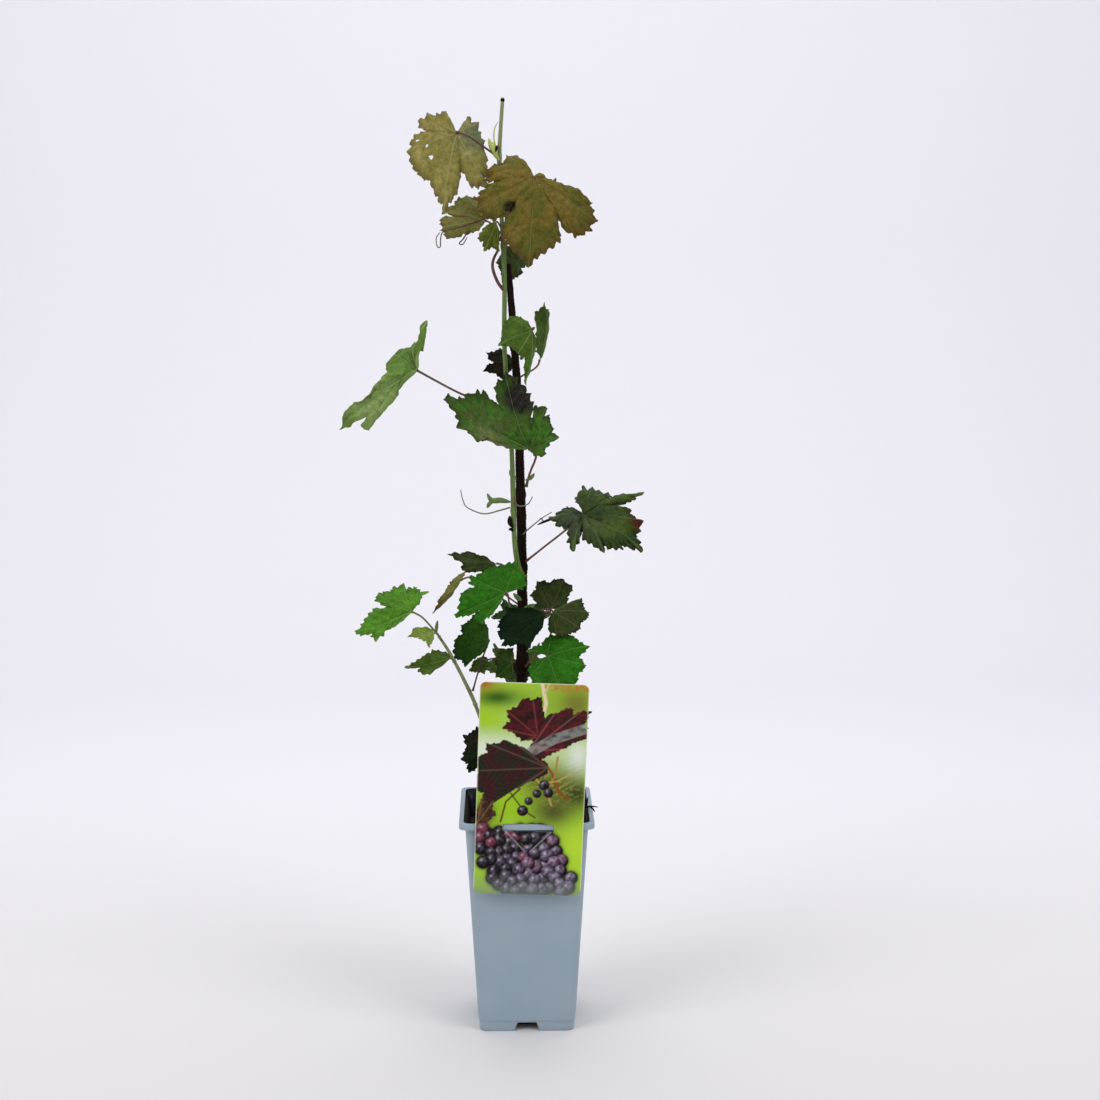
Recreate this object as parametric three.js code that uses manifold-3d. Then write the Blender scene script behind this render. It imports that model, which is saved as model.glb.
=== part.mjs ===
// A young grapevine in a tall square nursery pot, with its picture card on the rim.
// Millimetres, +Z up. The origin is the centre of the pot's flat underside.
import * as THREE from 'three';
import { mergeVertices } from 'three/addons/utils/BufferGeometryUtils.js';
import Module from 'manifold-3d';

const wasm = await Module();
wasm.setup();

// ---- driving dimensions ----

const GAP = 0.4; // left between pieces that touch

const POT = {
  height: 199,
  rimHalf: 60, // outer half width of the rim
  rimHeight: 5.5,
  lip: 4.4, // width of the rim's flat top
  shoulderHalf: 54.5, // outer half width just under the rim
  footHalf: 43.3, // outer half width at the floor
  footStep: 9.5, // height of the small step round the foot
  stepOut: 0.5,
  wall: 1.6,
  floor: 2.6,
  corner: 7, // corner radius
};
const NOTCH = { width: 20, height: 8, length: 17, wall: 1.4 };
const SOIL = { top: 177, edgeTop: 174.5, crownHalf: 30 };
const CARD = {
  width: 95,
  height: 192,
  thickness: 0.6,
  corner: 6,
  middle: [3.5, -61.2, 231.5],
  lean: THREE.MathUtils.degToRad(2.2), // its top leans to +X
  slot: { x: 2.5, width: 45, height: 6.6 },
};
const BLADE = {
  thickness: 1.5,
  notchSteps: 4, // outline steps from one tip to the next, so that one falls in the notch
  plainSteps: 2, // the same where the outline is hardly cut
  plainCut: 0.1,
  innerRing: 0.55,
  arch: 0.07, // how far the blade swells between stalk and edge, by lobe length
  notch: 0.13, // half width of a notch, by the way from tip to tip
  taper: 0.25, // how much of a cut is spread from tip to tip, not held in the notch
  round: 0.35, // how far the rim bulges from the straight line between tips to an arc round the stalk
  rear: 0.4, // length beside the stalk, by the outer lobe's length
  heart: [0.35, 0.35], // how far the two outer lobes' rear edges swing back round the stalk
  cut: 0.3, // the usual depth of a notch
};
const LIMB_SIDES = 8;
const STALK_SIDES = 6;
const STALK_RADIUS = 0.9;

// ---- colours ----

const COLOUR = {
  pot: 0x8797a4,
  soil: 0x1d1714,
  card: 0xa9c24e,
  bark: 0x2e1c14,
  greenShoot: 0x6d8a4c,
  stalk: 0x6b4238,
  olive: 0x8a873f,
  bronze: 0x5f5a24,
  bright: 0x2f6f18,
  fresh: 0x4a7c1d,
  green: 0x3c5f22,
  dark: 0x1f3317,
  maroon: 0x33221c,
};

// ---- the leaves ----
// at: junction with the stalk. lobes: the tips counted from it, in order round the blade. cuts: depth of
// the notch between each tip and the next, by their length. bow: how far the blade's middle is bowed.

const LEAVES = {
  leaf_top_left: { colour: 'olive', at: [-58, -8, 797],
    lobes: [[-9, 4, 18], [-34, 10, 11], [-40, 14, -5], [-41, 10, -26], [-11, -10, -63], [24, -14, -46],
      [26, -8, -23], [23, -4, -5], [9, 0, 14]],
    cuts: [0, 0.3, 0.02, 0.14, 0.5, 0, 0.08, 0], heart: [0.05, 0.05] },
  leaf_top_right: { colour: 'bronze', at: [7, -40, 760],
    lobes: [[-7, 10, 12], [-16, 12, 20], [-40, 4, 5], [-49, -6, -19], [-42, -10, -35], [-25, -14, -56],
      [-5, -14, -73], [21, -6, -55], [37, 4, -51], [49, 8, -45], [51, 12, -31], [47, 14, -18],
      [38, 14, -11], [26, 11, -9], [5, 2, 3]],
    cuts: [0, 0.05, 0.22, 0, 0.45, 0, 0, 0.44, 0, 0, 0, 0, 0.1, 0.03], heart: [0.05, 0.05] },
  leaf_top_behind: { colour: 'olive', at: [-34, 2, 723],
    lobes: [[-8, 22, 20], [-23, 24, 21], [-38, 26, 9], [-40, 18, 0], [-34, 0, -16], [-6, -8, -9]],
    cuts: [0, 0.05, 0.38, 0, 0.12], heart: [0.1, 0.1] },
  leaf_top_small: { colour: 'fresh', at: [-25, -9, 722],
    lobes: [[-11, -2, -5], [-16, -4, -14], [-10, -8, -24], [2, -6, -24]],
    cuts: [0.05, 0.12, 0.12] },
  leaf_upper_dark: { colour: 'dark', at: [-16, 18, 701],
    lobes: [[-8, 4, -14], [-3, 8, -35], [11, 14, -26], [18, 16, -15], [12, 20, -3]],
    cuts: [0.03, 0.06, 0.05, 0.03] },
  leaf_mid_edge: { colour: 'green', at: [13, 30, 601],
    lobes: [[-3, 22, 24], [-4, 14, 40], [4, 0, 50], [8, -16, 43], [5, -22, 23]],
    cuts: [0.02, 0.06, 0.03, 0.02] },
  leaf_mid_fold: { colour: 'green', at: [6, -24, 630],
    lobes: [[-14, 14, 12], [-24, 6, 7], [-28, -6, -12], [-12, -12, -19], [-6, -8, -45], [2, 4, -19]],
    cuts: [0.02, 0.06, 0.06, 0.28, 0.1] },
  leaf_mid_dark: { colour: 'maroon', at: [-10, 16, 599],
    lobes: [[-10, -6, -13], [-26, -14, -6], [-23, -4, 9], [-12, 8, 12]],
    cuts: [0.1, 0.28, 0.05] },
  leaf_left_long: { colour: 'green', at: [-94, -16, 595],
    lobes: [[-41, -34, -48], [-67, -22, -47], [-55, -10, -27], [-32, 2, -11], [-27, 14, 2], [-19, 26, 18],
      [-4, 32, 23], [9, 6, 41]],
    cuts: [0.2, 0, 0, 0.16, 0, 0, 0.5], heart: [0.05, 0.1], bow: [-4, 0, 6] },
  leaf_centre: { colour: 'green', at: [2, -38, 529],
    lobes: [[-47, -24, 13], [-58, -22, 22], [-73, -12, 45], [-44, 4, 49], [-25, 18, 58], [-13, 24, 61],
      [-1, 20, 43], [10, 8, 36], [19, 2, 24], [22, -6, 10], [13, -14, -7]],
    cuts: [0, 0.06, 0.05, 0.3, 0, 0, 0.48, 0.02, 0.04, 0.12], heart: [0, 0.1], bow: [0, -6, 0] },
  leaf_right: { colour: 'dark', at: [50, -22, 468],
    lobes: [[-14, 6, 6], [-27, -6, -2], [-9, -16, -27], [5, -20, -21], [14, -22, -28], [27, -20, -27],
      [50, -12, -29], [50, -2, -6], [42, 2, 3], [52, 22, 16], [22, 24, 17], [0, 20, 23], [-5, 14, 12]],
    cuts: [0, 0.2, 0.45, 0.05, 0.1, 0.1, 0.04, 0.05, 0.38, 0.5, 0.03, 0.02], heart: [0, 0], bow: [0, -4, 3] },
  leaf_lower_behind: { colour: 'bronze', at: [-26, 26, 417],
    lobes: [[-12, 0, -8], [-28, -4, -7], [-42, 2, 8], [-27, 20, 7]],
    cuts: [0.05, 0.14, 0] },
  leaf_lower_edge: { colour: 'fresh', at: [-58, 4, 406],
    lobes: [[-8, -12, -8], [-25, -4, -28], [-8, 10, -1], [4, 16, 6]],
    cuts: [0.02, 0.05, 0.02], heart: [0.1, 0] },
  leaf_bright: { colour: 'bright', at: [-18, -34, 402],
    lobes: [[-13, -14, -19], [-25, -16, -23], [-42, -10, -19], [-39, -2, 0], [-31, 8, 11], [-14, 12, 20],
      [9, 14, 24], [18, 10, 12], [16, 4, 3]],
    cuts: [0, 0.32, 0, 0.24, 0.04, 0.03, 0.04, 0], heart: [0.1, 0.1] },
  leaf_shoot_tip: { colour: 'fresh', at: [-101, -30, 384],
    lobes: [[-30, -20, -20], [-47, -10, -18], [-36, 2, 0], [-31, 14, 11], [-11, 24, 18], [2, 22, 19],
      [13, 14, 15]],
    cuts: [0.12, 0, 0.36, 0.03, 0.1, 0.03], heart: [0.05, 0.1], bow: [0, -4, 2] },
  leaf_shoot_small: { colour: 'fresh', at: [-81, -35, 366],
    lobes: [[-4, -8, -10], [-12, -6, -4], [-22, -4, -2], [-18, 2, 4], [-6, 8, 4]],
    cuts: [0.2, 0.25, 0.05, 0.05] },
  leaf_shoot_low: { colour: 'green', at: [-68, -29, 340],
    lobes: [[-20, -8, -8], [-28, -6, -7], [-38, 0, -5], [-20, 8, 1], [-13, 12, 5], [-2, 12, 3]],
    cuts: [0, 0.25, 0.12, 0, 0] },
  leaf_lower_left: { colour: 'dark', at: [-33, 0, 352],
    lobes: [[-9, -12, -12], [-21, -12, -20], [-31, -6, -15], [-31, 0, 0], [-24, 8, 12], [-11, 12, 24]],
    cuts: [0.08, 0.08, 0, 0.14, 0.05] },
  leaf_lower_olive: { colour: 'olive', at: [-34, 10, 332],
    lobes: [[-4, -6, -11], [-17, -4, -10], [-14, 2, -2], [-5, 6, 2]],
    cuts: [0.05, 0.05, 0] },
  leaf_right_olive: { colour: 'bronze', at: [23, 14, 378],
    lobes: [[-11, 2, 1], [-18, 6, 11], [-12, 14, 22], [9, 16, 25], [20, 10, 19], [14, 4, 3]],
    cuts: [0, 0.06, 0.12, 0.05, 0.1] },
  leaf_centre_deep: { colour: 'dark', at: [17, -30, 383],
    lobes: [[-15, -20, -25], [-35, -20, -26], [-42, -16, -17], [-41, -6, -7], [-34, 2, 4]],
    cuts: [0.08, 0.05, 0.05, 0.1] },
  leaf_right_dark: { colour: 'bronze', at: [24, -20, 382],
    lobes: [[-4, -8, -17], [8, -12, -21], [21, -12, -16], [32, -4, -3], [25, 8, 9], [7, 10, 0]],
    cuts: [0.05, 0.03, 0.06, 0.04, 0.25] },
  leaf_right_bright: { colour: 'bright', at: [19, -34, 345],
    lobes: [[-18, -8, -9], [-13, -14, -24], [6, -18, -29], [25, -12, -22], [32, -8, -9], [35, 2, 8],
      [22, 10, 16], [3, 12, 16], [-17, 4, 4]],
    cuts: [0.05, 0.12, 0.1, 0.08, 0.22, 0.05, 0.03, 0.25], heart: [0.1, 0.1] },
  leaf_low_small: { colour: 'green', at: [-13, 6, 330],
    lobes: [[2, -8, -14], [-14, -4, -12], [-15, 4, 2], [-9, 8, 11], [1, 10, 11]],
    cuts: [0.05, 0.12, 0.05, 0.03] },
  leaf_foot_left: { colour: 'maroon', at: [-32, -28, 262],
    lobes: [[-10, 6, -22], [-20, 2, -25], [-25, 0, -12], [-23, 4, 8], [-12, 8, 14]],
    cuts: [0.05, 0.12, 0.15, 0.05] },
  leaf_foot_right: { colour: 'maroon', at: [28, 4, 276],
    lobes: [[30, -4, 9], [27, 6, -8], [20, 12, -27], [-6, 8, -24], [2, -14, 18]] },
  leaf_foot_front: { colour: 'dark', at: [6, -28, 292],
    lobes: [[-20, 10, 14], [-26, -6, -14], [4, -18, -36], [24, -4, -12], [16, 10, 14]] },
  leaf_foot_behind: { colour: 'green', at: [6, 34, 258],
    lobes: [[-20, -4, 14], [-28, 10, -10], [2, 22, -34], [30, 12, -8], [20, -4, 14]] },
  leaf_back_low: { colour: 'green', at: [-8, 36, 326],
    lobes: [[-20, 0, 14], [-28, 12, -10], [0, 26, -36], [28, 14, -10], [20, 0, 14]] },
  leaf_back_middle: { colour: 'dark', at: [-2, 38, 372],
    lobes: [[-18, -2, 10], [-28, 10, -8], [2, 24, -26], [26, 14, -8], [18, 0, 8]] },
  leaf_back_centre: { colour: 'green', at: [-16, 34, 556],
    lobes: [[-18, 0, 12], [-36, 12, -6], [-4, 26, -30], [26, 12, -14], [18, 0, 8]] },
  leaf_back_top: { colour: 'bronze', at: [4, 24, 748],
    lobes: [[-20, -2, 12], [-36, 12, -12], [4, 26, -46], [38, 14, -16], [22, 0, 10]] },
};

// ---- the woody parts: middle line from the foot up, and radius along it ----

const LIMBS = {
  trunk: {
    colour: 'bark',
    line: [[-3, 8, 177.4], [-3, 8, 188], [-3, 8, 250], [-4, 8, 312], [-3, 8, 328], [-3, 8, 387],
      [-4, 8, 468], [-7, 8, 572], [-12, 8, 650], [-15, 8, 686]],
    radii: [6.5, 5.2, 4.6, 4.4, 5.4, 4.2, 3.9, 3.4, 2.9, 2.4],
  },
  main_shoot: {
    colour: 'greenShoot',
    line: [[-7, 0, 421], [-10, -4, 444], [-11, -6, 482], [-13, -6, 542], [-18, -6, 610],
      [-18, -6, 677], [-21, -6, 741], [-22, -6, 779], [-19, -6, 827]],
    radii: [2.6, 2.5, 3.2, 2.3, 2.2, 2.1, 2, 2.4, 1.8],
  },
  side_shoot: {
    colour: 'greenShoot',
    line: [[-9.5, 4, 205], [-22, 0, 224], [-42, -12, 286], [-50, -16, 308], [-66, -24, 343], [-77, -28, 362]],
    radii: [2.2, 2, 1.9, 2.3, 1.8, 1.5],
  },
};

// ---- the long leaf stalks ----

const STALKS = {
  stalk_top_left: [[-24.5, -8.5, 778], [-36, -17, 786], [-48, -22, 794], [-57.5, -14, 798]],
  stalk_top_right: [[-21, -9.5, 708], [-17, -16, 722], [-7, -28, 745], [5, -37.5, 756]],
  stalk_left_long: [[-20, -7, 560], [-41, -8, 568], [-60, -12, 576], [-91.5, -16, 593.5]],
  stalk_centre: [[1, 4, 492], [4, -4, 504], [9, -20, 520], [5, -37, 528.5]],
  stalk_right: [[1.5, 4, 424], [16, -4, 437], [30, -10, 449], [41, -14, 458.5], [48, -18, 465]],
  stalk_bright: [[-8.5, 3, 372], [-13, -6, 381], [-15, -22, 391], [-16, -33.5, 399.5]],
  stalk_shoot_tip: [[-78.8, -28.5, 364.5], [-90, -30, 378], [-97.5, -30, 383]],
  stalk_side: [[-47.2, -11.5, 310], [-40, 3, 332], [-33.5, 3, 349.5]],
};

// ---- closed shapes ----

function closedGeometry(positions, triangles) {
  const geometry = new THREE.BufferGeometry();
  geometry.setAttribute('position', new THREE.Float32BufferAttribute(positions.flat(), 3));
  geometry.setIndex(triangles.flat());
  return signedVolume(positions, triangles) < 0
    ? geometry.setIndex(triangles.map(([a, b, c]) => [a, c, b]).flat())
    : geometry;
}

function signedVolume(positions, triangles) {
  const point = (i) => new THREE.Vector3(...positions[i]);
  return triangles.reduce((sum, [a, b, c]) => sum + point(a).dot(point(b).cross(point(c))) / 6, 0);
}

// Rings of points, all with the same count, joined into a skin and closed by a fan at each end.
function skinOverRings(rings) {
  const count = rings[0].length;
  const centres = [rings[0], rings[rings.length - 1]].map((ring) =>
    ring.reduce((sum, point) => sum.map((s, k) => s + point[k] / count), [0, 0, 0]));
  const positions = [...rings.flat(), ...centres];
  const foot = rings.length * count;
  const last = foot - count;
  const triangles = [];
  for (let i = 0; i < count; i++) {
    const j = (i + 1) % count;
    for (let row = 0; row < last; row += count) {
      triangles.push([row + i, row + j, row + count + j], [row + i, row + count + j, row + count + i]);
    }
    triangles.push([foot, j, i], [foot + 1, last + i, last + j]);
  }
  return closedGeometry(positions, triangles);
}

// One level square ring with round corners.
function squareRing(z, half, corner, arcSteps = 4) {
  const ring = [];
  for (let quarter = 0; quarter < 4; quarter++) {
    const start = (quarter * Math.PI) / 2;
    const [sx, sy] = [[1, 1], [-1, 1], [-1, -1], [1, -1]][quarter];
    for (let step = 0; step <= arcSteps; step++) {
      const angle = start + (step / arcSteps) * (Math.PI / 2);
      ring.push([
        sx * (half - corner) + corner * Math.cos(angle),
        sy * (half - corner) + corner * Math.sin(angle),
        z,
      ]);
    }
  }
  return ring;
}

function toSolid(geometry) {
  const bare = geometry.clone();
  bare.deleteAttribute('normal');
  bare.deleteAttribute('uv');
  const merged = mergeVertices(bare, 1e-4);
  return new wasm.Manifold(new wasm.Mesh({
    numProp: 3,
    vertProperties: new Float32Array(merged.attributes.position.array),
    triVerts: new Uint32Array(merged.index.array),
  }));
}

function fromSolid(solid) {
  const mesh = solid.getMesh();
  const geometry = new THREE.BufferGeometry();
  geometry.setAttribute('position', new THREE.BufferAttribute(mesh.vertProperties, 3));
  geometry.setIndex(new THREE.BufferAttribute(mesh.triVerts, 1));
  return geometry;
}

// A box that runs from the outer face of the pot's foot inwards, on one of its four sides.
function sideBox(turn, width, reach, fromZ, toZ) {
  const outside = POT.footHalf + 2;
  const length = reach + outside - POT.footHalf;
  const box = new THREE.BoxGeometry(length, width, toZ - fromZ);
  box.translate(outside - length / 2, 0, (fromZ + toZ) / 2);
  return box.rotateZ((turn * Math.PI) / 2);
}

// ---- pot, soil and card ----

function innerHalf(z) {
  return POT.footHalf + ((POT.shoulderHalf - POT.footHalf) * z) / (POT.height - POT.rimHeight) - POT.wall;
}

function potGeometry() {
  const rimFoot = POT.height - POT.rimHeight;
  const { footHalf, stepOut, footStep, corner } = POT;
  const slope = (POT.shoulderHalf - footHalf) / rimFoot;
  let pot = toSolid(skinOverRings([
    squareRing(0, footHalf - stepOut, corner),
    squareRing(footStep - stepOut, footHalf - stepOut + slope * footStep, corner),
    squareRing(footStep, footHalf + slope * footStep, corner),
    squareRing(rimFoot, POT.shoulderHalf, corner),
    squareRing(rimFoot, POT.rimHalf, corner),
    squareRing(POT.height, POT.rimHalf, corner),
  ]));
  const above = POT.height + 1;
  pot = pot.subtract(toSolid(skinOverRings([
    squareRing(POT.floor, innerHalf(POT.floor), corner - POT.wall),
    squareRing(rimFoot - 1, innerHalf(rimFoot - 1), corner - POT.wall),
    squareRing(POT.height - 1, POT.rimHalf - POT.lip, corner - POT.wall),
    squareRing(above, POT.rimHalf - POT.lip, corner - POT.wall),
  ])));
  for (let turn = 0; turn < 4; turn++) {
    const { width, height, length, wall } = NOTCH;
    const housing = toSolid(sideBox(turn, width + 2 * wall, length + wall, POT.floor / 2, height + wall));
    const body = toSolid(skinOverRings([
      squareRing(0, footHalf - POT.wall / 2, corner),
      squareRing(height + wall + 1, footHalf - POT.wall / 2, corner),
    ]));
    pot = pot.add(housing.intersect(body));
    pot = pot.subtract(toSolid(sideBox(turn, width, length, -1, height)));
  }
  return fromSolid(pot);
}

function soilGeometry() {
  const corner = POT.corner - POT.wall;
  const half = (z) => innerHalf(z) - GAP;
  const foot = POT.floor + GAP;
  let soil = toSolid(skinOverRings([
    squareRing(foot, half(foot), corner),
    squareRing(SOIL.edgeTop, half(SOIL.edgeTop), corner),
    squareRing(SOIL.top, SOIL.crownHalf, corner),
  ]));
  for (let turn = 0; turn < 4; turn++) {
    const { width, height, length, wall } = NOTCH;
    const room = sideBox(turn, width + 2 * (wall + GAP), length + wall + GAP, 0, height + wall + GAP);
    soil = soil.subtract(toSolid(room));
  }
  return fromSolid(soil);
}

function roundedRectangle(target, x, y, width, height, radius) {
  const [left, right, low, high] = [x - width / 2, x + width / 2, y - height / 2, y + height / 2];
  target.moveTo(left + radius, low);
  target.lineTo(right - radius, low);
  target.absarc(right - radius, low + radius, radius, -Math.PI / 2, 0, false);
  target.lineTo(right, high - radius);
  target.absarc(right - radius, high - radius, radius, 0, Math.PI / 2, false);
  target.lineTo(left + radius, high);
  target.absarc(left + radius, high - radius, radius, Math.PI / 2, Math.PI, false);
  target.lineTo(left, low + radius);
  target.absarc(left + radius, low + radius, radius, Math.PI, 1.5 * Math.PI, false);
  return target;
}

// A flat card with a slot for the rim, stood up in the XZ plane.
function cardGeometry() {
  const rimMiddle = POT.height - POT.rimHeight / 2 - CARD.middle[2];
  const outline = roundedRectangle(new THREE.Shape(), 0, 0, CARD.width, CARD.height, CARD.corner);
  const { x, width, height } = CARD.slot;
  outline.holes.push(roundedRectangle(new THREE.Path(), x - CARD.middle[0], rimMiddle, width, height, 1));
  const depth = CARD.thickness;
  const card = new THREE.ExtrudeGeometry(outline, { depth, bevelEnabled: false, curveSegments: 3 });
  return card.rotateX(Math.PI / 2);
}

// ---- woody limbs and stalks ----

// Round rings square to a smooth line through the given points, with the radius eased along it.
function limbGeometry(line, radii, sides, stepsPerSpan) {
  const points = line.map((point) => new THREE.Vector3(...point));
  const curve = new THREE.CatmullRomCurve3(points, false, 'centripetal');
  const spans = line.length - 1;
  const steps = spans * stepsPerSpan;
  const rings = [];
  let side = new THREE.Vector3(1, 0, 0);
  for (let step = 0; step <= steps; step++) {
    const t = step / steps;
    const centre = curve.getPoint(t);
    const along = step === 0 && line[0][0] === line[1][0] ? new THREE.Vector3(0, 0, 1) : curve.getTangent(t);
    side = side.clone().addScaledVector(along, -side.dot(along)).normalize();
    const across = along.clone().cross(side);
    const span = Math.min(Math.floor(t * spans), spans - 1);
    const radius = THREE.MathUtils.lerp(radii[span], radii[span + 1], t * spans - span);
    rings.push(Array.from({ length: sides }, (_, k) => {
      const angle = (2 * Math.PI * k) / sides;
      return centre.clone()
        .addScaledVector(side, radius * Math.cos(angle))
        .addScaledVector(across, radius * Math.sin(angle))
        .toArray();
    }));
  }
  return skinOverRings(rings);
}

// ---- leaves ----

// Points round the rim of a blade, from one side of the stalk to the other: straight from tip to tip,
// rounded a little outwards, and cut in towards the stalk between tips.
function bladeOutline({ lobes, cuts = Array(lobes.length - 1).fill(BLADE.cut), heart = BLADE.heart }) {
  const tips = lobes.map((lobe) => new THREE.Vector3(...lobe));
  const middle = tips.reduce((sum, tip) => sum.add(tip), new THREE.Vector3()).normalize();
  const rear = (tip, swing) => tip.clone().normalize().addScaledVector(middle, -swing)
    .setLength(BLADE.rear * tip.length());
  const corners = [rear(tips[0], heart[0]), ...tips, rear(tips[tips.length - 1], heart[1])];
  const depths = [0, ...cuts, 0];
  const outline = depths.flatMap((depth, gap) => {
    const [from, to] = [corners[gap], corners[gap + 1]];
    const steps = depth > BLADE.plainCut ? BLADE.notchSteps : BLADE.plainSteps;
    return Array.from({ length: steps }, (_, step) => rimPoint(from, to, depth, step / steps));
  });
  return [...outline, corners[corners.length - 1]];
}

function rimPoint(from, to, depth, t) {
  const point = from.clone().lerp(to, t);
  const arc = THREE.MathUtils.lerp(from.length(), to.length(), t);
  const notch = Math.exp(-(((t - 0.5) / BLADE.notch) ** 2));
  const dip = BLADE.taper * Math.sin(Math.PI * t) + (1 - BLADE.taper) * notch;
  return point.setLength(THREE.MathUtils.lerp(point.length(), arc, BLADE.round) * (1 - depth * dip));
}

// A thin closed blade: a fan from the stalk through an inner ring, swollen a little, made thick both ways.
function bladeGeometry(leaf) {
  const outline = bladeOutline(leaf);
  const count = outline.length;
  const normal = new THREE.Vector3();
  for (let i = 1; i < count; i++) normal.add(outline[i - 1].clone().cross(outline[i]));
  normal.normalize();
  const bow = new THREE.Vector3(...(leaf.bow ?? [0, 0, 0]));
  const swell = (edge) => {
    const rise = BLADE.arch * edge.length();
    return edge.clone().multiplyScalar(BLADE.innerRing).addScaledVector(normal, rise).add(bow);
  };
  const points = [new THREE.Vector3(), ...outline.map(swell), ...outline];
  const faces = [];
  for (let i = 1; i < count; i++) {
    faces.push([0, i, i + 1], [i, i + count, i + 1], [i + 1, i + count, i + count + 1]);
  }
  return thicken(points, faces, BLADE.thickness);
}

function thicken(points, faces, thickness) {
  const normals = points.map(() => new THREE.Vector3());
  const edges = new Map();
  for (const face of faces) {
    const [a, b, c] = face.map((i) => points[i]);
    const facing = b.clone().sub(a).cross(c.clone().sub(a));
    face.forEach((i) => normals[i].add(facing));
    face.forEach((i, k) => edges.set(`${i},${face[(k + 1) % 3]}`, [i, face[(k + 1) % 3]]));
  }
  const shift = (side) => points.map((p, i) =>
    p.clone().addScaledVector(normals[i].clone().normalize(), (side * thickness) / 2).toArray());
  const below = points.length;
  const triangles = faces.flatMap(([a, b, c]) => [[a, b, c], [a + below, c + below, b + below]]);
  for (const [i, j] of edges.values()) {
    if (!edges.has(`${j},${i}`)) triangles.push([j, i, i + below], [j, i + below, j + below]);
  }
  return closedGeometry([...shift(1), ...shift(-1)], triangles);
}

// ---- the plant ----

const vine = new THREE.Group();

function addPiece(name, geometry, colour, roughness = 0.6) {
  const material = new THREE.MeshStandardMaterial({ color: COLOUR[colour], roughness, metalness: 0 });
  const mesh = new THREE.Mesh(geometry, material);
  mesh.name = name;
  vine.add(mesh);
  return mesh;
}

addPiece('pot', potGeometry(), 'pot', 0.45);
addPiece('soil', soilGeometry(), 'soil', 0.95);

const card = addPiece('card', cardGeometry(), 'card', 0.35);
card.position.set(...CARD.middle);
card.rotation.y = CARD.lean;

for (const [name, { line, radii, colour }] of Object.entries(LIMBS)) {
  addPiece(name, limbGeometry(line, radii, LIMB_SIDES, 2), colour, 0.7);
}
for (const [name, line] of Object.entries(STALKS)) {
  addPiece(name, limbGeometry(line, line.map(() => STALK_RADIUS), STALK_SIDES, 2), 'stalk');
}
for (const [name, leaf] of Object.entries(LEAVES)) {
  addPiece(name, bladeGeometry(leaf), leaf.colour).position.set(...leaf.at);
}

export default vine;
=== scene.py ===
"""A young grapevine in a tall square nursery pot, with its picture card pushed over the rim.

Lengths in the tables are millimetres. Every piece is worked out as whole numpy arrays, put where its CAD
node lies, and turned into metres when its mesh is made.
"""
import math

import bpy
import numpy as np
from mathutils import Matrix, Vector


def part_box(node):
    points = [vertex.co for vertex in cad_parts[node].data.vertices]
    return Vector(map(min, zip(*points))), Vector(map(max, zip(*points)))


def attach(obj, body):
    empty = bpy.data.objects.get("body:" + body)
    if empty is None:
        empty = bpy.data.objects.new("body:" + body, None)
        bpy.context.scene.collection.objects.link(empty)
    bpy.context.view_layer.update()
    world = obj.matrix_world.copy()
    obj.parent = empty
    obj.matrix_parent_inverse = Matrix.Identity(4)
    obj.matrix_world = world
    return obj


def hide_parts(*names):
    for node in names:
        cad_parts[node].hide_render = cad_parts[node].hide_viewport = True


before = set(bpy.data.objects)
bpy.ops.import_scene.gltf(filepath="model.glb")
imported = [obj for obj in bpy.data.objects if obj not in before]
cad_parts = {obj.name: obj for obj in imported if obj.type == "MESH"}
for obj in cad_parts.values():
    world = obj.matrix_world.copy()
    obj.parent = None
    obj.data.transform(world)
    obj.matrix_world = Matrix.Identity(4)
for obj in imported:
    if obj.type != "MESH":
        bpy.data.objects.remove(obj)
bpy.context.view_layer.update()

MM = 0.001
BODY = "root"


def node_box(node):
    """Lowest and highest corner of a CAD node, in millimetres."""
    low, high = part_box(node)
    return np.array(low) / MM, np.array(high) / MM


POT_LOW, POT_HIGH = node_box("pot")
CARD_LOW, CARD_HIGH = node_box("card")
RIM_TOP = POT_HIGH[2]
RIM_HALF = (POT_HIGH[0] - POT_LOW[0]) / 2
SOIL_TOP = node_box("soil")[1][2]


# ---------------------------------------------------------------- leaves, stems and stalks: the tables

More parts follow.
